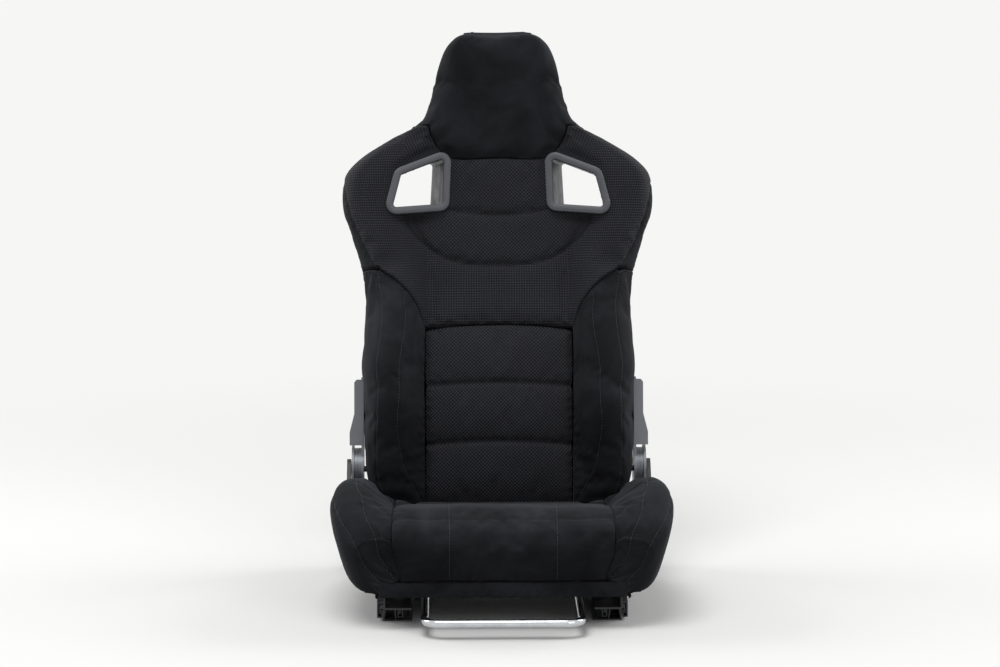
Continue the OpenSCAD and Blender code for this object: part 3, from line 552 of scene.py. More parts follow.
# distances, in mm, of each place of a pattern grid from its left, right, low and high side
def borderDistances(flat):
    across, up = lengths(flat, 1), lengths(flat, 0)
    return across, across[:, -1:] - across, up, up[-1:] - up


# front and back grids of a pad in metres, its pattern, its normals and the stations they are sampled at
def padGrid(pad, step):
    width, length = pad["size"]
    left, right, low, high = pad["borders"]
    u = stations(width, step, abs(left), abs(right))
    v = stations(length, step, abs(low), abs(high))
    uu, vv = np.meshgrid(u, v)
    front, back, flat = pad["surface"](uu, vv)
    out = normals(front)
    sunk = np.zeros(uu.shape)
    for distance, radius in zip(borderDistances(flat), pad["borders"]):
        sunk = np.maximum(sunk, rolledIn(distance, abs(radius)))
    reach = np.linalg.norm(front - back, axis=-1) / mm
    sunk = np.minimum(sunk, 0.8 * reach)
    front = front - out * (sunk * mm)[..., None]
    return {"front": front, "back": back, "flat": flat, "out": out, "u": u, "v": v}


# 1 where the cover is sewn or wrapped round and can't move, 0 where it can swell
def pinWeights(pad, grid):
    borders = np.minimum.reduce(list(borderDistances(grid["flat"])))
    weight = np.exp(-((borders / 4.0) ** 2))
    for off, _, pull, _ in seamDistances(pad, grid):
        weight = np.maximum(weight, min(1, 1.6 * pull) * np.exp(-((off / 5.0) ** 2)))
    weight[0], weight[-1], weight[:, 0], weight[:, -1] = 1, 1, 1, 1
    return weight


# a coarse copy of the pad, with Blender's Cloth on it: pressure inside, no gravity, pinned where it is sewn
def startCloth(name, pad):
    grid = padGrid(pad, padding["coarseStep"])
    points, faces = closedPad(grid["front"], grid["back"])
    piece, _ = makeMesh(name + "Cloth", points, faces)
    weight = np.concatenate([pinWeights(pad, grid).ravel(), np.ones(len(points) // 2)])
    group = piece.vertex_groups.new(name="sewn")
    for level in range(1, 21):
        members = np.nonzero(np.round(weight * 20).astype(int) == level)[0]
        group.add(members.tolist(), level / 20, "REPLACE")
    cloth = piece.modifiers.new("cloth", "CLOTH")
    cloth.settings.quality = 4
    cloth.settings.mass = 0.3
    cloth.settings.tension_stiffness = 12
    cloth.settings.compression_stiffness = 12
    cloth.settings.shear_stiffness = 6
    cloth.settings.bending_stiffness = 1.5
    cloth.settings.use_pressure = True
    cloth.settings.uniform_pressure_force = padding["pressure"] * pad["grow"]
    cloth.settings.shrink_min = -0.012
    cloth.settings.effector_weights.gravity = 0
    cloth.settings.vertex_group_mass = "sewn"
    cloth.collision_settings.use_collision = False
    cloth.point_cache.frame_start = 1
    cloth.point_cache.frame_end = padding["frames"]
    return piece, grid


# how far each coarse place of the front moved, in metres, never further than the cap
def clothMoves(piece, grid, cap):
    settled = piece.evaluated_get(bpy.context.evaluated_depsgraph_get())
    rows, cols = grid["front"].shape[:2]
    moved = meshPoints(settled.data)[: rows * cols].reshape(rows, cols, 3) - grid["front"]
    size = np.linalg.norm(moved, axis=-1, keepdims=True) / mm
    return moved * np.tanh(size / cap) * cap / np.maximum(size, 1e-6)


# matrix that carries values at the coarse stations to the fine ones along smooth lines
def weightsBetween(coarse, fine):
    return np.stack([alongKnots(list(zip(coarse, row)), fine) for row in np.eye(len(coarse))], 1)


# runs the cloth of all pads together for its frames and returns the moves of each coarse grid
def swellAll():
    started = {name: startCloth(name, pad) for name, pad in pads.items()}
    scene.frame_start = 1
    scene.frame_end = padding["frames"]
    for number in range(1, padding["frames"] + 1):
        scene.frame_set(number)
    moves = {}
    for name, (piece, grid) in started.items():
        moves[name] = (clothMoves(piece, grid, pads[name]["cap"]), grid)
    for piece, _ in started.values():
        mesh = piece.data
        bpy.data.objects.remove(piece)
        bpy.data.meshes.remove(mesh)
    scene.frame_set(1)
    return moves


# the stand-in for the cloth: a smooth swelling between the borders and seams
def crown(pad, grid):
    free = 1 - pinWeights(pad, grid)
    near = np.minimum.reduce(list(borderDistances(grid["flat"])))
    for off, _, pull, _ in seamDistances(pad, grid):
        near = np.minimum(near, off / max(pull, 0.05))
    height = 0.8 * pad["cap"] * free * smoothStep(near / 45)
    return grid["out"] * (height * mm)[..., None]


opening = {
    "at": (135, -36, 487),
    "turn": 12,
    "corners": [(-43.5, 42), (31, 13), (46, -42.5), (-40, -35.5)],
    "round": 5,
    "wall": 3,
    "rim": 13,
    "flange": 4.5,
    # rounding of the flange's inner and outer edge, and how far it is domed between them
    "lipRound": 3.2,
    "rimRound": 2.6,
    "dome": 0.5,
    "sleeve": 52,
    # width over which the cover is drawn in, how deep, and how far outside the hole it ends
    "press": 17,
    "under": -0.5,
    "cut": 5.2,
    # places further than this before or behind the opening aren't at it
    "reach": 200,
}


# corners of a convex outline moved inwards; the corners run clockwise
def insetCorners(corners, inset):
    corners = np.array(corners, float)
    step = np.roll(corners, -1, 0) - corners
    inward = np.stack([step[:, 1], -step[:, 0]], 1) / np.linalg.norm(step, axis=1, keepdims=True)
    base = corners + inward * inset
    moved = []
    for k in range(len(corners)):
        a, b = step[k - 1], step[k]
        t = np.linalg.solve(np.stack([a, -b], 1), base[k] - base[k - 1])
        moved.append(base[k - 1] + t[0] * a)
    return np.array(moved)


openingCorners = insetCorners(opening["corners"], opening["round"])


# distance outside the rounded outline of an opening, negative inside it
def outsideOpening(x, y):
    flat = np.stack([x, y], -1)
    ring = np.concatenate([openingCorners, openingCorners[:1]])
    off, _ = distanceTo(ring, flat)
    inside = np.ones(off.shape, bool)
    for a, b in zip(ring[:-1], ring[1:]):
        inside &= (x - a[0]) * (b[1] - a[1]) - (y - a[1]) * (b[0] - a[0]) > 0
    return np.where(inside, -off, off) - opening["round"]


# places in metres as an opening's own x, y and height over its plane, in mm
def openingPlace(side, points):
    x, depth, height = toBack(points)
    a, b = x * side - opening["at"][0], -(depth - opening["at"][1])
    turn = math.radians(opening["turn"])
    return (
        a * math.cos(turn) + b * math.sin(turn),
        height - opening["at"][2],
        b * math.cos(turn) - a * math.sin(turn),
    )


# the inverse of openingPlace
def fromOpening(side, x, y, z):
    turn = math.radians(opening["turn"])
    a = x * math.cos(turn) - z * math.sin(turn)
    b = x * math.sin(turn) + z * math.cos(turn)
    return fromBack(side * (a + opening["at"][0]), opening["at"][1] - b, y + opening["at"][2])


# draws a cover in under the flanges of both bezels; what lies further off is drawn in less and less
def pressRound(points):
    for side in (-1, 1):
        x, y, z = openingPlace(side, points)
        off = outsideOpening(x, y)
        share = 1 - smoothStep((off - opening["rim"] + 1) / opening["press"])
        lowered = lerp(z, np.full(z.shape, opening["under"]), share)
        points = np.where((share > 0)[..., None], fromOpening(side, x, y, lowered), points)
    return points


# true for the quads of a grid that lie outside both openings
def clearOfOpenings(points):
    centre = (points[:-1, :-1] + points[1:, 1:]) / 2
    keep = np.ones(centre.shape[:2], bool)
    for side in (-1, 1):
        x, y, z = openingPlace(side, centre)
        keep &= (outsideOpening(x, y) > opening["cut"]) | (np.abs(z) > opening["reach"])
    return keep.ravel()


seamGap = 0.4  # half the gap between two covers, measured along the back


# place across the cover: x on the flat part, then the length of the quarter turn
def rolledPattern(q, x, h):
    rise = backDepth(h) - frontDepth(flatHalf(h), h)
    arc = math.pi / 2 * np.sqrt((alongKnots(backrest["roll"], h) ** 2 + rise**2) / 2)
    over = np.clip(np.abs(q) - 1, 0, None)
    return np.where(np.abs(q) < 1, x, np.sign(x) * (flatHalf(h) + over * arc))


# front, back and pattern of a piece of the backrest's cover
def backPad(q, h):
    x, depth, h = frontPoint(q, h)
    pattern = rolledPattern(q, x, h)
    return fromBack(x, depth, h), fromBack(x, backDepth(h), h), np.stack([pattern, h], -1)


# lumbar panel: the centre line of the front, with both sides 7 mm further back by a parabola
def lumbarSurface(u, v):
    half = backrest["lumbarHalf"] + 0.5
    x = lerp(-half, half, u)
    h = lerp(backrest["foot"], lumbarTop(x) - seamGap, v)
    depth = alongKnots(backrest["front"], h) + 7 * (x / backrest["lumbarHalf"]) ** 2
    return fromBack(x, depth, h), fromBack(x, backDepth(h), h), np.stack([x, h], -1)


# back bolster: half of u from the lumbar panel to the flat edge, the rest round the rolled edge
def bolsterSurface(side):
    flatShare = 0.5

    def surface(u, v):
        u = u if side > 0 else 1 - u
        t = np.clip(u / flatShare, 0, 1)
        over = np.clip((u - flatShare) / (1 - flatShare), 0, 1)
        h = lerp(backrest["foot"], alongKnots(backrest["bolsterBorder"], t) - seamGap, v)
        x = lerp(backrest["lumbarHalf"] + 0.05, flatHalf(h), t)
        return backPad(side * (x / flatHalf(h) + over), h)

    return surface


# columns shared by the shoulder and head pads: part over the lumbar panel, over a bolster, round the edge
def acrossShoulders(u):
    s = 2 * u - 1
    a = np.abs(s)
    inner, outer = 0.4, 0.7
    over = np.clip(a / inner, 0, 1)
    t = np.clip((a - inner) / (outer - inner), 0, 1)
    roll = np.clip((a - outer) / (1 - outer), 0, 1)
    top = np.where(a < inner, 0.55 * over, lerp(0.55, 1, t))
    return np.where(s < 0, -1, 1), over, t, roll, top


# shoulder panel: columns lead from the arc over lumbar and bolsters to the head, and round the edge
def shoulderSurface(u, v):
    side, over, t, roll, top = acrossShoulders(u)
    x0 = over * (backrest["lumbarHalf"] + 0.5)
    low = np.where(t > 0, alongKnots(backrest["bolsterBorder"], t), lumbarTop(x0))
    h = lerp(low + seamGap, alongKnots(backrest["headBorder"], top + roll) - seamGap, v)
    flat = flatHalf(h)
    x = lerp(lerp(x0, flat, t), top * flat, v)
    return backPad(side * (x / flat + roll), h)


# head: from its lower border to a level top, with the shoulder panel's columns
def headSurface(u, v):
    side, over, t, roll, top = acrossShoulders(u)
    # falls off to both sides by less than a micrometre, and stays because the folds of the cloth follow its
    # last digits
    crown = backrest["crown"] * np.clip(1 - (top / 75) ** 2, 0, 1)
    low = alongKnots(backrest["headBorder"], top + roll) + seamGap
    h = lerp(low, backrest["head"] + crown, v)
    return backPad(side * (top + roll), h)


# a line from the middle outwards, continued to the other side
def mirrored(line):
    line = np.array(line, float)
    return np.concatenate([(line * [-1, 1])[:0:-1], line])


# places across the cover, from heights and parts round the rolled edge
def besideEdge(line):
    h, q = np.array(line, float).T
    return np.stack([rolledPattern(q, flatHalf(h), h), h], 1)


outerArc = mirrored([(0, 347), (60, 351), (100, 364), (128, 386), (150, 412), (160, 433)])
innerArc = mirrored([(0, 434), (60, 438), (90, 445)])
sideBand = besideEdge(
    [(336, 1.04), (360, 1.23), (390, 1.36), (416, 1.43), (450, 1.5), (475, 1.68), (494, 1.98)]
)
crestSeam = np.array([
    (130, -62), (135, -50), (158, -3), (167, 33), (172, 74), (169, 116), (166, 188), (158, 249), (161, 302),
], float)
sideSeam = besideEdge([(-60, 1.14), (20, 1.12), (150, 1.13), (250, 1.1), (336, 1.08)])
flipped = np.array([-1, 1])

describePad(
    "lumbarCover", lumbarSurface, (249, 308), (3, 3, -3, 9),
    seams=[
        (mirrored([(0, 146.5), (60, 145), (124, 140.5)]), 0.75, "joined"),
        (mirrored([(0, 46.5), (60, 45), (124, 41)]), 0.75, "joined"),
    ],
    cap=6, grow=1.6, fill=0.75, kind="lumbar",
)
for side, name in ((-1, "Left"), (1, "Right")):
    turned = flipped if side < 0 else 1
    describePad(
        "backBolster" + name, bolsterSurface(side), (205, 390),
        (0, 3, -3, 4) if side < 0 else (3, 0, -3, 4),
        seams=[(crestSeam * turned, 0.3, "sewn"), (sideSeam * turned, 0.3, "sewn")],
        cap=4, fill=0.8, kind="suede",
    )
describePad(
    "shoulderCover", shoulderSurface, (610, 275), (0, 0, 9, 4),
    seams=[
        (outerArc, 0.55, "joined"), (innerArc, 0.4, "joined"),
        (sideBand, 0.3, "joined"), (sideBand * flipped, 0.3, "joined"),
    ],
    # a wider painted shade over its lower border, where it tucks behind the lumbar panel and the bolsters
    cap=4, fill=0.8, kind="shoulder", openings=True, shades=(1.4, 1.4, 4.5, 1.4),
)
describePad(
    "headCover", headSurface, (330, 205), (0, 0, 4, -13),
    cap=5, fill=0.8, kind="suede", openings=True,
)


# place at u, from 0 to 1, on the smooth line through a stack of knots, each an array
def splineThrough(knots, u):
    knots = np.stack(knots)
    t = np.clip(u, 0, 1) * (len(knots) - 1)
    i = np.clip(t.astype(int), 0, len(knots) - 2)
    f = t - i

    def at(k):
        return np.take_along_axis(knots, np.clip(k, 0, len(knots) - 1)[None], 0)[0]

    a, b, c, d = at(i - 1), at(i), at(i + 1), at(i + 2)
    a = np.where(i == 0, 2 * b - c, a)
    d = np.where(i == len(knots) - 2, 2 * c - b, d)
    return 0.5 * (2 * b + (c - a) * f + (2 * a - 5 * b + 4 * c - d) * f**2 + (3 * (b - c) + d - a) * f**3)


nose = [(-260, 82), (-264, 96), (-271, 122), (-277, 144), (-278, 156), (-274.5, 167), (-266, 173.5)]
cushionPath = np.array(nose + [(y, float(cushionTop(y))) for y in range(-254, 112, 14)])
cushionRun = np.concatenate([[0], np.cumsum(np.linalg.norm(np.diff(cushionPath, axis=0), axis=1))])
noseEnd = -238  # place at which the front face has turned into the top
noseRun = float(np.interp(noseEnd, cushionPath[8:, 0], cushionRun[8:]))


# the covers ride up a little before they go down behind, under the backrest, most beside the bolsters
def rearRise(x, y):
    corner = smoothStep((x - 140) / 30) * smoothStep((222 - x) / 30)
    return (7 + 7 * corner) * smoothStep((y - 30) / 45) * smoothStep((108 - y) / 14)


# half width of the centre's cover: drawn in towards the lower corners of its front face
def centreEdge(z):
    return cushion["centreHalf"] - 13 * smoothStep((142 - z) / 62)


# cushion centre: the path over the nose and along the top, carried from side to side
def centreSurface(u, v):
    s = v * cushionRun[-1]
    y = alongKnots(list(zip(cushionRun, cushionPath[:, 0])), s)
    z = alongKnots(list(zip(cushionRun, cushionPath[:, 1])), s)
    half = np.where(s < noseRun, centreEdge(z), cushion["centreHalf"]) + 1.2
    x = lerp(-half, half, u)
    # the back stands clear of the foam: up behind the face, then along under the top
    face = np.clip(s / noseRun, 0, 1)
    rising = lerp(81.6, float(cushionTop(noseEnd)) - 27, face)
    under = np.where(face < 1, rising, np.maximum(80, cushionTop(y) - 26))
    front = np.stack([x, y, z + rearRise(np.abs(x), y)], -1) * mm
    back = np.stack([x, np.where(face < 1, lerp(-240.5, noseEnd, face), y), under], -1) * mm
    return front, back, np.stack([x, s], -1)


# lower front band: a plane upright piece, 5.5 mm deep
def bandSurface(u, v):
    x = lerp(-cushion["bandHalf"], cushion["bandHalf"], u)
    z = lerp(cushion["low"], cushion["bandTop"] - 0.3, v)
    y = np.full(x.shape, cushion["bandFront"])
    front = np.stack([x, y, z], -1) * mm
    return front, np.stack([x, y + 5.5, z], -1) * mm, np.stack([x, z], -1)


# section of a cushion bolster at y: from the seam beside the centre over the crest to the lower edge
def lobeKnots(y):
    top = cushion["crest"] + alongKnots(cushion["crestLine"], y)
    out = cushion["halfWidth"] + alongKnots(cushion["outerLine"], y)
    low, half = cushion["low"] + 0 * y, cushion["centreHalf"] + 0 * y
    inner = np.minimum(cushionTop(y), top - 4)
    foot = cushion["bandHalf"] + 0 * y
    sideZ = lerp(low, top, 0.78)
    section = [
        (half + 0.5, inner), (lerp(half, out, 0.32), lerp(inner, top, 0.55)),
        (out - 47, lerp(inner, top, 0.95)), (out - 34, top), (out - 17, top - 4), (out - 4, top - 16),
        (out, sideZ), (out - 6, lerp(low, sideZ, 0.72)),
        (out - 15, lerp(low, sideZ, 0.44)), (out - 25, low + 20), (out - 35, low + 5),
        (np.maximum(foot + 4, out - 48), low), (foot, low),
    ]
    return [x for x, _ in section], [z for _, z in section], inner


# how far the lower front of a bolster stands back
def lobeTuck(y, z):
    under = np.clip((150 - z) / (150 - cushion["low"]), 0, None)
    near = np.clip((-190 - y) / 80, 0, 1)
    return 20 * near * under**1.4


# edge of a bolster's front face, beside the centre's face and then out along the band: x, place, height
lobeEdge = [
    (176.5, -269, 152), (177, -277, 147), (176.5, -275.5, 138), (174, -271, 122), (165, -265, 96),
    (163, -262.5, 86), (172, -262.5, 79), (186, -262.5, 70), (197, -261, 60), (199, -257, 57.5),
]
lobeStart, lobeEnd = -268, 97  # places of the first and the last section
lobeCap = 56  # what the front face takes of the cover's length


# cushion bolster: sections along the seat, closed in front by a face that rises from its edge beside the
# centre, as a quarter of an ellipse, to the first section
def lobeSurface(side):
    xs, zs, _ = lobeKnots(np.array([-150.0]))
    run = np.concatenate([[0], np.cumsum(np.hypot(np.diff(xs, axis=0)[:, 0], np.diff(zs, axis=0)[:, 0]))])
    edgeRun = np.linspace(0, 1, len(lobeEdge))

    def surface(u, v):
        u = u if side < 0 else 1 - u
        share = np.interp(1 - u, run / run[-1], np.linspace(0, 1, len(run)))
        place = lerp(-lobeCap, lobeEnd - lobeStart, v)
        y = lobeStart + np.maximum(place, 0)
        cap = np.clip(-place / lobeCap, 0, 1)
        xs, zs, inner = lobeKnots(y)
        x, z = splineThrough(xs, share), splineThrough(zs, share)
        y, z = y + lobeTuck(y, z), z + rearRise(x, y)
        edge = [alongKnots(list(zip(edgeRun, np.array(lobeEdge)[:, k])), share) for k in range(3)]
        rise = np.cos(cap * math.pi / 2)
        bulge = 1 - np.sin(cap * math.pi / 2)
        front = [lerp(edge[0], x, rise), lerp(edge[1], y, bulge), lerp(edge[2], z, rise)]
        # the hidden side: straight down beside the centre, and further back out round the frame
        drop = np.clip(share * 1.15, 0, 1)
        backZ = lerp(inner - 16, cushion["low"] + 3, drop)
        outward = smoothStep((y + 247) / 5) * smoothStep((104 - backZ) / 8)
        backX = np.maximum(cushion["centreHalf"] + 0.6, edge[0]) + 22 * outward + 0.8 * drop
        backY = np.maximum(y, edge[1] + 6) + 4 * (1 - cap)
        across = share * run[-1] * (1 if side > 0 else -1)
        apart = np.sqrt((edge[0] - x) ** 2 + (edge[2] - z) ** 2)
        pattern = np.stack([across, np.where(cap > 0, lobeStart - apart * cap, y)], -1)
        front = np.stack([side * front[0], front[1], front[2]], -1) * mm
        return front, np.stack([side * backX, backY, backZ], -1) * mm, pattern

    return surface


# seams of a cushion bolster, from behind over the crest to the corner of the band: x, place, height
crestLine3 = [
    (226, 60, 178), (232, -20, 201), (235, -90, 211), (235, -154, 216), (228, -184, 209), (220, -238, 188),
    (204, -268, 157), (198, -268, 127), (188, -265, 110), (179, -263, 96), (171, -262, 86), (165, -262, 83),
]
sideLine3 = [
    (262, 10, 168), (270, -60, 184), (273, -120, 194), (272, -180, 194), (265, -218, 184), (252, -248, 168),
    (236, -265, 146), (222, -263, 111), (208, -261, 93), (195, -262, 80), (180, -262, 76),
]
cornerFold3 = [(205, -196, 196), (197, -212, 192), (187, -226, 187), (179, -240, 182)]
lipFold = mirrored([(0, 118), (35, 121), (62, 117), (90, 122), (118, 118), (150, 124), (172, 121)])

describePad(
    "cushionCover", centreSurface, (354, float(cushionRun[-1])), (4, 4, 4, -8),
    seams=[
        (np.array([(86, 0), (86, 200), (86, cushionRun[-1])]), 0.14, "sewn"),
        (np.array([(-86, 0), (-86, 200), (-86, cushionRun[-1])]), 0.14, "sewn"),
        (lipFold, 0.3, "fold"),
    ],
    cap=5, fill=0.8, kind="suede",
)
describePad(
    "cushionBand", bandSurface, (2 * cushion["bandHalf"], cushion["bandTop"] - cushion["low"]), (-3, -3, -3, 3),
    cap=1.5, fill=0.5, kind="suede",
)
bolsterSeams = ((crestLine3, 0.32, "sewn"), (sideLine3, 0.32, "sewn"), (cornerFold3, 0.5, "fold"))
for side, name in ((-1, "Left"), (1, "Right")):
    describePad(
        "cushionBolster" + name, lobeSurface(side), (300, lobeEnd - lobeStart + lobeCap),
        (-5, 2, 6, -10) if side < 0 else (2, -5, 6, -10),
        seams3=[(np.array(line) * [side, 1, 1], pull, kind) for line, pull, kind in bolsterSeams],
        cap=4, fill=0.8, kind="suede",
    )


# moves a seam's places onto a grid's surface; line in mm, points in metres
def ontoGrid(line, points):
    rows, cols = points.shape[:2]
    tree = BVHTree.FromPolygons(points.reshape(-1, 3).tolist(), gridQuads(rows, cols).tolist())
    places = smoothLine(line) * mm
    return np.array([tree.find_nearest(Vector(place))[0] for place in places]) / mm


# for each seam of a pad: distance from it and length along it, over the whole grid
def seamDistances(pad, grid):
    found = [(*distanceTo(line, grid["flat"]), *rest) for line, *rest in pad["seams"]]
    for line, *rest in pad.get("seams3", []):
        found.append((*distanceTo(ontoGrid(line, grid["front"]), grid["front"] / mm), *rest))
    return found


# slow, slight waves that a stretched cover has: a sum of sines of the place, in mm
def unevenness(points, seed):
    x, y, z = (points[..., k] / mm for k in range(3))
    wave = np.sin(x / 31 + seed) * np.sin(z / 37 + 2 * seed) + 0.6 * np.sin((x + z) / 19 + y / 23 + 3 * seed)
    return 0.35 * wave + 0.2 * np.sin((x - 0.6 * z) / 9.5 + 1.3 * seed) * np.sin(z / 13 + x / 41)


# the folding backrest sweeps round the hinge and comes down to a slope; places and heights in mm
sweep = {"radius": 79, "foot": (92, 134.5), "slope": 0.51, "straight": 192, "side": 42}


# keeps the rear of a seat cover out of the space that the folded backrest needs: a round space about the hinge,
# and under a slope that begins further back towards the sides
def clearOfSweep(points):
    away = points[..., 1:] / mm - hinge
    distance = np.linalg.norm(away, axis=-1, keepdims=True)
    place = hinge + away * np.maximum(1, sweep["radius"] / distance)
    aside = sweep["side"] * (np.clip(np.abs(points[..., 0]) / mm - sweep["straight"], 0, None) / 30) ** 2
    limit = sweep["foot"][1] + sweep["slope"] * (sweep["foot"][0] + aside - place[..., 0])
    y, z = place[..., 0], np.minimum(place[..., 1], np.maximum(limit, sweep["foot"][1]))
    return np.stack([points[..., 0], y * mm, z * mm], -1)


# the finished cover of a pad: its fine grid, moved as its cloth moved, with seams pressed in
def finePad(name, pad, moves):
    grid = padGrid(pad, padding["step"])
    front = grid["front"]
    if moves:
        moved, coarse = moves[name]
        up, across = weightsBetween(coarse["v"], grid["v"]), weightsBetween(coarse["u"], grid["u"])
        front = front + np.einsum("ai,bj,ijk->abk", up, across, moved)
    else:
        front = front + crown(pad, grid)
    if pad.get("openings"):
        front = pressRound(front)
    out = normals(front)
    height = unevenness(front, len(name))
    # painted shade along the seams and borders, kept as an attribute by which the materials darken the cover
    crease = np.zeros(front.shape[:2])
    for number, (off, along, pull, kind) in enumerate(seamDistances(pad, grid)):
        dark, gathered = padding["kinds"][kind]
        wide = 3 * padding["seamWidth"]
        valley = np.exp(-((off / padding["seamWidth"]) ** 2)) + 0.35 * np.exp(-((off / wide) ** 2))
        height -= padding["seamDepth"] * pull * valley
        gathers = ripple(along, off, padding["seamWave"], number + len(name)) * (1 - np.exp(-((off / 3) ** 2)))
        height += padding["gather"] * gathered * gathers
        crease = np.maximum(crease, dark * np.exp(-((off / padding["seamLine"]) ** 2)))
    shades = pad.get("shades", [padding["borderLine"]] * 4)
    for number, (off, radius) in enumerate(zip(borderDistances(grid["flat"]), pad["borders"])):
        if radius > 0:
            along = grid["flat"][..., 1 if number < 2 else 0]
            gathers = ripple(along, off, padding["borderWave"], number + 0.7) * smoothStep(off / 6)
            height += padding["gather"] * gathers
            crease = np.maximum(crease, padding["borderDark"] * np.exp(-((off / shades[number]) ** 2)))
    front = front + out * (height * mm)[..., None]
    if name.startswith("cushion"):
        front = clearOfSweep(front)
    keep = clearOfOpenings(front) if pad.get("openings") else None
    points, faces = closedPad(front, grid["back"], keep)
    piece, used = makeMesh(name, points, faces)
    addAttribute(piece, "crease", np.concatenate([crease.ravel(), 0 * crease.ravel()])[used])
    return piece, grid, front, faces


stitch = {"pitch": 5.4, "long": 4.2, "radius": 0.4, "out": 0.25}  # in mm; out is how far the middle stands out


# places, directions and outward normals, in metres, of the stitches along a pad's top-stitched seams
def stitchPlaces(pad, grid, front):
    lines = [(line, grid["flat"]) for line, _, kind in pad["seams"] if kind == "sewn"]
    base = grid["front"] / mm
    inSpace = [line for line, _, kind in pad.get("seams3", []) if kind == "sewn"]
    lines += [(ontoGrid(line, grid["front"]), base) for line in inSpace]
    out = normals(front).reshape(-1, 3)
    places, ways, ups = [], [], []
    for line, field in lines:
        field = field.reshape(-1, field.shape[-1])
        run = np.concatenate([[0], np.cumsum(np.linalg.norm(np.diff(line, axis=0), axis=1))])
        at = np.arange(stitch["pitch"], run[-1] - stitch["pitch"], stitch["pitch"])
        spots = np.stack([np.interp(at, run, line[:, k]) for k in range(line.shape[1])], 1)
        # the finished surface there, from the six nearest places of its grid
        apart = np.linalg.norm(field[None] - spots[:, None], axis=-1)
        near = np.argpartition(apart, 6, axis=1)[:, :6]
        share = 1 / (np.take_along_axis(apart, near, 1) ** 2 + 0.3)
        share /= share.sum(1, keepdims=True)
        place = np.einsum("nk,nkj->nj", share, front.reshape(-1, 3)[near])
        places.append(place)
        ways.append(unit(np.gradient(place, axis=0)))
        ups.append(unit(np.einsum("nk,nkj->nj", share, out[near])))
    return [np.concatenate(parts) for parts in (places, ways, ups)]


# short threads, each a six-sided rod with narrowed ends, laid along the seam and half sunk in the cover
def makeStitches(name, places, ways, ups):
    across = unit(np.cross(ups, ways))
    turn = np.arange(6) * 2 * math.pi / 6
    along = np.array([-0.5, -0.38, 0.38, 0.5]) * stitch["long"]
    wide = np.array([0.3, 1, 1, 0.3]) * stitch["radius"]
    height = stitch["out"] - np.array([0.5, 0, 0, 0.5])
    points = (
        places[:, None, None]
        + ways[:, None, None] * along[None, :, None, None] * mm
        + across[:, None, None] * (wide[:, None] * np.cos(turn))[None, ..., None] * mm
        + ups[:, None, None] * (wide[:, None] * np.sin(turn) + height[:, None])[None, ..., None] * mm
    )
    ring = np.arange(6)
    after = np.roll(ring, -1)
    sides = [np.stack([k * 6 + ring, k * 6 + after, k * 6 + 6 + after, k * 6 + 6 + ring], 1) for k in range(3)]
    ends = np.array([[3, 2, 1, 0], [0, 5, 4, 3], [18, 19, 20, 21], [21, 22, 23, 18]])
    faces = np.concatenate(sides + [ends])
    faces = (faces[None] + 24 * np.arange(len(places))[:, None, None]).reshape(-1, 4)
    piece, _ = makeMesh(name, points.reshape(-1, 3), faces)
    return piece


# each corner's place on the flat cloth, in metres, turned 45 degrees where the mesh is laid on the bias
def clothCoordinates(pad, grid, front, faces):
    across = lengths(front, 1, mm)
    across = across - across[:, [across.shape[1] // 2]]
    flat = np.stack([across, grid["flat"][..., 1]], -1).reshape(-1, 2) * mm
    flat = np.concatenate([flat, flat])[faces]
    pattern = np.concatenate([grid["flat"].reshape(-1, 2)] * 2)[faces].mean(1)
    bias = onBias(pad, pattern)
    turned = np.stack([flat[..., 0] + flat[..., 1], flat[..., 1] - flat[..., 0]], -1) * math.sqrt(0.5)
    return np.where(bias[:, None, None], turned, flat)


# faces whose mesh lies diagonally: the lumbar panel and the field over the outer arc
def onBias(pad, pattern):
    x, h = pattern.T
    if pad["kind"] == "lumbar":
        return np.ones(len(x), bool)
    if pad["kind"] != "shoulder":
        return np.zeros(len(x), bool)
    arcX, arcH = smoothLine(outerArc).T
    return (np.abs(x) < 160) & (h > np.interp(x, arcX, arcH))


# faces outside the seam where the shoulder's mesh ends in a strip of suede
def onSideBand(pattern):
    line = smoothLine(sideBand)
    x, h = pattern.T
    return (h < line[-1, 1]) & (np.abs(x) > np.interp(h, line[:, 1], line[:, 0]))


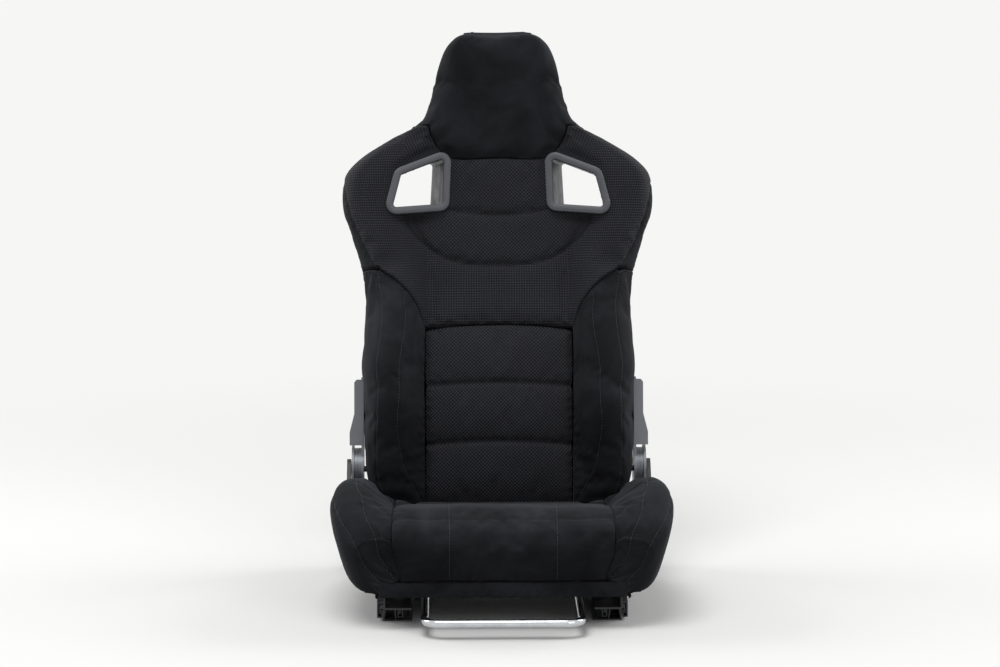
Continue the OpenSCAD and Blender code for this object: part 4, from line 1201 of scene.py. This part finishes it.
# sizes in metres: patch, fibre, pitch and grain are the width of what shows, depth that of its relief
finishes = {
    # microfibre suede, brushed by hand: a matt cloth with lighter and darker patches. Its fibres are drawn
    # about 1 mm long, coarser than real ones, so that they show
    # in suede and mesh, crease is the colour of the painted shade in seams and along borders
    "suede": {"light": "#28292d", "dark": "#18191b", "crease": "#0c0c0e", "patch": 0.09, "fibre": 0.0011},
    # knitted spacer mesh: dark open cells between paler yarn, 4.3 mm apart, drawn coarser than real ones
    "mesh": {"yarn": "#323339", "hole": "#070709", "crease": "#0b0b0d", "pitch": 0.0043, "patch": 0.07},
    # rolled steel, darkened and oiled: a soft, even shine
    "railSteel": {"colour": "#3f4144", "metal": 1.0, "rough": 0.36, "grain": 0.0006, "depth": 0.00002},
    # zinc-plated steel: clouded grey without clear mirror images
    "zincSteel": {"colour": "#6d6f73", "metal": 1.0, "rough": 0.48, "grain": 0.0012, "depth": 0.00003},
    # ground bearing steel: small sharp lights
    "bearingSteel": {"colour": "#b7b9bc", "metal": 1.0, "rough": 0.16, "grain": 0.002, "depth": 0.00001},
    # black powder coat on steel: its fine orange peel breaks the lights up
    "blackSteel": {"colour": "#17181a", "metal": 0.0, "rough": 0.48, "grain": 0.0009, "depth": 0.00006},
    # polished and plated steel: it mirrors what stands round it
    "platedBar": {"colour": "#c9cbce", "metal": 1.0, "rough": 0.13, "grain": 0.004, "depth": 0.00001},
    # pressed steel as it comes from the tool: half matt
    "discSteel": {"colour": "#5d6064", "metal": 1.0, "rough": 0.4, "grain": 0.0008, "depth": 0.00003},
    # moulded ABS with an eroded grain: broad, dull lights
    "shellPlastic": {"colour": "#1b1c1f", "metal": 0.0, "rough": 0.55, "grain": 0.0007, "depth": 0.00012},
    # moulded ABS, finely eroded and greyer: a satin rim of light on its edges
    "bezelPlastic": {"colour": "#4c4d53", "metal": 0.0, "rough": 0.46, "grain": 0.0009, "depth": 0.00003},
    # moulded polyamide: dull with a slight shine on its rounded edges
    "leverPlastic": {"colour": "#202124", "metal": 0.0, "rough": 0.5, "grain": 0.0006, "depth": 0.00008},
    # moulded polyurethane foam: matt and open-pored
    "foam": {"colour": "#55544f", "metal": 0.0, "rough": 0.95, "grain": 0.0016, "depth": 0.0004},
    # bonded polyester thread: a little paler than the suede
    "thread": {"colour": "#3a3b40", "metal": 0.0, "rough": 0.7, "grain": 0.0004, "depth": 0.00005},
}


# microfibre suede: brushed patches lighter and darker, a fine nap, and a pale edge where it turns away
def suedeMaterial(name, values):
    material, tree = newMaterial(name)
    place = addNode(tree, "ShaderNodeTexCoord").outputs["Object"]
    # patches where a hand has turned the nap
    patches = addNode(
        tree, "ShaderNodeTexNoise", {"Vector": place},
        Scale=1 / values["patch"], Detail=4.0, Roughness=0.6, Distortion=0.7,
    )
    turned = addNode(
        tree, "ShaderNodeMapRange", {"Value": patches.outputs["Fac"]}, From_Min=0.36, From_Max=0.66
    )
    # single fibres, about a millimetre long
    fibre = addNode(
        tree, "ShaderNodeTexNoise", {"Vector": place}, Scale=1 / values["fibre"], Detail=2.0, Roughness=0.7
    )
    colour = addNode(
        tree, "ShaderNodeMixRGB", {"Fac": turned.outputs[0]},
        Color1=toLinear(values["dark"]), Color2=toLinear(values["light"]),
    )
    flecks = addNode(tree, "ShaderNodeMapRange", {"Value": fibre.outputs["Fac"]}, To_Min=0.72, To_Max=1.28)
    speckled = addNode(
        tree, "ShaderNodeVectorMath", {0: colour.outputs[0], "Scale": flecks.outputs[0]}, operation="SCALE"
    )
    # painted shade: seams and borders darken towards the crease colour by the crease attribute
    crease = addNode(tree, "ShaderNodeAttribute", attribute_name="crease")
    sewn = addNode(
        tree, "ShaderNodeMixRGB", {"Fac": crease.outputs["Fac"], "Color1": speckled.outputs[0]},
        Color2=toLinear(values["crease"]),
    )
    nap = addNode(
        tree, "ShaderNodeBump", {"Height": fibre.outputs["Fac"]}, Strength=0.5, Distance=0.0005
    )
    brushed = addNode(
        tree, "ShaderNodeBump", {"Height": patches.outputs["Fac"], "Normal": nap.outputs[0]},
        Strength=0.25, Distance=0.004,
    )
    shader = addNode(
        tree, "ShaderNodeBsdfPrincipled", {"Base Color": sewn.outputs[0], "Normal": brushed.outputs[0]},
        Roughness=0.92, Specular_IOR_Level=0.12, Sheen_Weight=0.07, Sheen_Roughness=0.4,
        Sheen_Tint=toLinear("#b4b6c0"),
    )
    addNode(tree, "ShaderNodeOutputMaterial", {"Surface": shader.outputs[0]})
    return material


# knitted spacer mesh: rows of small open cells, with the yarn brightest where its courses cross
def meshMaterial(name, values):
    material, tree = newMaterial(name)
    cloth = addNode(tree, "ShaderNodeUVMap", uv_map="cloth").outputs[0]
    place = addNode(tree, "ShaderNodeTexCoord").outputs["Object"]
    # one cell of the knit for each hole; distance 0 in its middle, 0.7 in its corners
    cells = addNode(
        tree, "ShaderNodeTexVoronoi", {"Vector": cloth},
        voronoi_dimensions="2D", Scale=1 / values["pitch"], Randomness=0.0,
    )
    yarn = addNode(
        tree, "ShaderNodeMapRange", {"Value": cells.outputs["Distance"]},
        interpolation_type="SMOOTHSTEP", From_Min=0.24, From_Max=0.62,
    )
    patches = addNode(tree, "ShaderNodeTexNoise", {"Vector": place}, Scale=1 / values["patch"], Detail=3.0)
    worn = addNode(tree, "ShaderNodeMapRange", {"Value": patches.outputs["Fac"]}, To_Min=0.7, To_Max=1.3)
    # the twist of the yarn
    twist = addNode(tree, "ShaderNodeTexNoise", {"Vector": cloth}, Scale=2200.0, Detail=2.0)
    colour = addNode(
        tree, "ShaderNodeMixRGB", {"Fac": yarn.outputs[0]},
        Color1=toLinear(values["hole"]), Color2=toLinear(values["yarn"]),
    )
    shaded = addNode(
        tree, "ShaderNodeVectorMath", {0: colour.outputs[0], "Scale": worn.outputs[0]}, operation="SCALE"
    )
    # painted shade: seams and borders darken towards the crease colour by the crease attribute
    crease = addNode(tree, "ShaderNodeAttribute", attribute_name="crease")
    sewn = addNode(
        tree, "ShaderNodeMixRGB", {"Fac": crease.outputs["Fac"], "Color1": shaded.outputs[0]},
        Color2=toLinear(values["crease"]),
    )
    threads = addNode(tree, "ShaderNodeBump", {"Height": twist.outputs["Fac"]}, Strength=0.3, Distance=0.0003)
    knit = addNode(
        tree, "ShaderNodeBump", {"Height": yarn.outputs[0], "Normal": threads.outputs[0]},
        Strength=0.6, Distance=0.0011,
    )
    shader = addNode(
        tree, "ShaderNodeBsdfPrincipled", {"Base Color": sewn.outputs[0], "Normal": knit.outputs[0]},
        Roughness=0.78, Specular_IOR_Level=0.2, Sheen_Weight=0.04, Sheen_Tint=toLinear("#a9abb3"),
    )
    addNode(tree, "ShaderNodeOutputMaterial", {"Surface": shader.outputs[0]})
    return material


# metal, powder coat, moulded plastic or foam: its grain in the bump, handling marks in the roughness
def hardMaterial(name, values):
    material, tree = newMaterial(name)
    place = addNode(tree, "ShaderNodeTexCoord").outputs["Object"]
    grain = addNode(
        tree, "ShaderNodeTexNoise", {"Vector": place}, Scale=1 / values["grain"], Detail=2.0, Roughness=0.6
    )
    marks = addNode(
        tree, "ShaderNodeTexNoise", {"Vector": place}, Scale=38.0, Detail=6.0, Roughness=0.65, Distortion=0.6
    )
    rough = addNode(
        tree, "ShaderNodeMapRange", {"Value": marks.outputs["Fac"]},
        From_Min=0.3, From_Max=0.7, To_Min=values["rough"] * 0.8, To_Max=min(1.0, values["rough"] * 1.25),
    )
    tone = addNode(
        tree, "ShaderNodeMapRange", {"Value": marks.outputs["Fac"]},
        From_Min=0.3, From_Max=0.7, To_Min=0.88, To_Max=1.1,
    )
    colour = addNode(
        tree, "ShaderNodeVectorMath", {"Scale": tone.outputs[0]},
        operation="SCALE", Vector=toLinear(values["colour"])[:3],
    )
    bump = addNode(
        tree, "ShaderNodeBump", {"Height": grain.outputs["Fac"]}, Strength=0.5, Distance=values["depth"]
    )
    shader = addNode(
        tree, "ShaderNodeBsdfPrincipled",
        {"Base Color": colour.outputs[0], "Roughness": rough.outputs[0], "Normal": bump.outputs[0]},
        Metallic=values["metal"],
    )
    addNode(tree, "ShaderNodeOutputMaterial", {"Surface": shader.outputs[0]})
    return material


materials = {}
for name, values in finishes.items():
    make = suedeMaterial if name.startswith("suede") else meshMaterial if name == "mesh" else hardMaterial
    materials[name] = make(name, values)
print("finishes are made")

# the CAD nodes that keep their own shape, by finish; left and right nodes have one entry
nodeFinishes = {
    "railSteel": ["lower_rail", "upper_rail", "rail_stops", "lock_plates"],
    "zincSteel": [
        "recliner_lower", "recliner_upper", "rail_bolts", "rail_nuts", "bar_studs", "bracket_bolts",
        "back_bolts", "zigzag_springs", "sync_rod", "lumbar_wires",
    ],
    "bearingSteel": ["bearing_balls"],
    "blackSteel": [
        "pan_side", "cross_tube_front", "cross_tube_rear", "front_pan", "back_frame", "crossbar_lower",
        "crossbar_upper", "ball_cage",
    ],
    "platedBar": ["slide_bar"],
    "discSteel": ["disc_fixed", "disc_moving"],
    "shellPlastic": ["rear_shell"],
    "bezelPlastic": ["bezel_rear"],
    "leverPlastic": ["release_lever", "lever_grip"],
    "foam": ["cushion_core"],
}
for finish, members in nodeFinishes.items():
    for name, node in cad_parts.items():
        if name.removesuffix("_left").removesuffix("_right") in members:
            node.data.materials.clear()
            node.data.materials.append(materials[finish])

# the body that a cover rides on where it isn't the backrest, and the CAD nodes that it replaces
coverBodies = {
    "cushionCover": "seat_base", "cushionBand": "seat_base",
    "cushionBolsterLeft": "seat_base", "cushionBolsterRight": "seat_base",
}
coverNodes = {
    "lumbarCover": ["lumbar_pad"], "shoulderCover": ["shoulder_pad"], "headCover": ["headrest_pad"],
    "backBolsterLeft": ["back_bolster_left"], "backBolsterRight": ["back_bolster_right"],
    "cushionCover": ["cushion_centre"], "cushionBand": ["cushion_skirt"],
    "cushionBolsterLeft": ["cushion_bolster_left"], "cushionBolsterRight": ["cushion_bolster_right"],
}
moves = swellAll()
print("the covers have swollen under their cloth" if moves else "quick: plain crowns stand in for the cloth")

for name, pad in pads.items():
    piece, grid, front, faces = finePad(name, pad, moves)
    addUv(piece, clothCoordinates(pad, grid, front, faces))
    meshed = pad["kind"] in ("shoulder", "lumbar")
    piece.data.materials.append(materials["mesh" if meshed else "suede"])
    if pad["kind"] == "shoulder":
        pattern = np.concatenate([grid["flat"].reshape(-1, 2)] * 2)[faces].mean(1)
        piece.data.materials.append(materials["suede"])
        piece.data.polygons.foreach_set("material_index", onSideBand(pattern).astype(np.int32))
    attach(piece, coverBodies.get(name, "backrest"))
    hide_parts(*coverNodes[name])
    if any(kind == "sewn" for *_, kind in pad["seams"] + pad.get("seams3", [])):
        thread = makeStitches(name + "Thread", *stitchPlaces(pad, grid, front))
        thread.data.materials.append(materials["thread"])
        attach(thread, coverBodies.get(name, "backrest"))


# places and outward directions round an outline whose corners are rounded
def roundedOutline(corners, radius, step=2.0):
    count = len(corners)
    places, outs = [], []
    for k in range(count):
        a, b, c = corners[k - 1], corners[k], corners[(k + 1) % count]
        before, after = (np.array([-d[1], d[0]]) / np.linalg.norm(d) for d in (b - a, c - b))
        span = math.acos(float(np.clip(before @ after, -1, 1)))
        turns = np.linspace(0, 1, max(4, int(span * radius / step * 2)))
        for t in turns:
            out = (math.sin((1 - t) * span) * before + math.sin(t * span) * after) / math.sin(span)
            places.append(b + out * radius)
            outs.append(out)
        run = np.linalg.norm(c - b)
        for t in np.linspace(0, 1, max(3, int(run / step)))[1:-1]:
            places.append(b + (c - b) * t + after * radius)
            outs.append(after)
    return np.array(places), np.array(outs)


# section of the trim, as (distance outside the opening, height): down the sleeve and over a domed flange
def bezelProfile():
    rim, top, foot, wall = opening["rim"], opening["flange"], -opening["sleeve"], opening["wall"]
    turns = np.radians(np.linspace(0, 90, 7))
    lip, edge = opening["lipRound"], opening["rimRound"]
    across = np.linspace(lip, rim - edge, 7)[1:-1]
    inner = [(lip - lip * math.cos(t), top - lip + lip * math.sin(t)) for t in turns]
    dome = [(d, top + opening["dome"] * math.sin(math.pi * (d - lip) / (rim - edge - lip))) for d in across]
    outer = [(rim - edge + edge * math.sin(t), top - edge + edge * math.cos(t)) for t in turns]
    sleeve, under = [(0, foot), (0, foot / 2)], [(rim, -0.4), (wall, -0.6), (wall, foot)]
    return np.array(sleeve + inner + dome + outer + under)


# the trim's section carried round an opening's rounded outline
def makeBezel(side, name):
    places, outs = roundedOutline(openingCorners, opening["round"])
    profile = bezelProfile()
    flat = places[:, None] + outs[:, None] * profile[None, :, :1]
    points = fromOpening(side, flat[..., 0], flat[..., 1], np.broadcast_to(profile[:, 1], flat.shape[:2]))
    rows, cols = flat.shape[:2]
    i = np.arange(rows * cols).reshape(rows, cols)
    far, right = np.roll(i, -1, 0), np.roll(i, -1, 1)
    faces = np.stack([i, right, np.roll(right, -1, 0), far], -1).reshape(-1, 4)
    if side < 0:
        faces = faces[:, ::-1]
    piece, _ = makeMesh(name, points.reshape(-1, 3), faces)
    piece.data.materials.append(materials["bezelPlastic"])
    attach(piece, "backrest")
    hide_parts("bezel_front_" + name[5:].lower())
    return piece


bezels = {side: makeBezel(side, "bezel" + label) for side, label in ((-1, "Left"), (1, "Right"))}
print("bezels are made")


# one tree over the finished pieces as they stand
def shownTree(pieces):
    points, faces, base = [], [], 0
    for piece in pieces:
        points.extend(meshPoints(piece.data).tolist())
        faces.extend([[base + k for k in polygon.vertices] for polygon in piece.data.polygons])
        base = len(points)
    return BVHTree.FromPolygons(points, faces)


# each image point's distance, in pixels, from the place of the model that it stands for
def measurePoints():
    pieces = [bpy.data.objects[name] for name in pads] + list(bezels.values())
    pieces += [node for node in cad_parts.values() if not node.hide_render]
    tree = shownTree(pieces)
    seen = np.concatenate([toPixels(meshPoints(piece.data)) for piece in pieces])
    edges = {
        "left": seen[:, 0].min(), "right": seen[:, 0].max(),
        "top": seen[:, 1].min(), "bottom": seen[:, 1].max(),
    }
    known = {
        "headSeam": fromBack(0, -33, 529),
        "innerArc": fromBack(0, -22, 434),
        "outerArc": fromBack(0, -24, 347),
        "lumbarTop": fromBack(0, -45, 246),
        "upperChannel": fromBack(0, -52, 146.5),
        "lowerChannel": fromBack(0, -50, 46.5),
        "bezelLeft": fromOpening(-1, -3, -6, opening["flange"]),
        "bezelRight": fromOpening(1, -3, -6, opening["flange"]),
        "bolsterCrestSeam": fromBack(-169, float(frontDepth(169, 116)), 116),
        "bolsterSideSeam": fromBack(-206, -95, 150),
        "cushionSeamLeft": np.array((-86, -270, 122)) * mm,
        "cushionSeamRight": np.array((86, -270, 122)) * mm,
        "lobeSeam": np.array((-220, -238, 188)) * mm,
        "lobeSideSeam": np.array((-265, -218, 184)) * mm,
        "slideBar": np.array((0, -317, 26)) * mm,
        "bracketLeft": np.array((-242, 150, 255)) * mm,
    }
    found = {}
    for name, point in imagePoints.items():
        if name in edges:
            found[name] = round(float(edges[name] - point), 2)
            continue
        at = toPixels(known[name][None])[0]
        hit = placeOn(tree, point)
        found[name] = {
            "off": [round(float(at[k] - point[k]), 2) for k in (0, 1)],
            "surface": [round(value, 4) for value in hit],
        }
    return found


measurePoints()
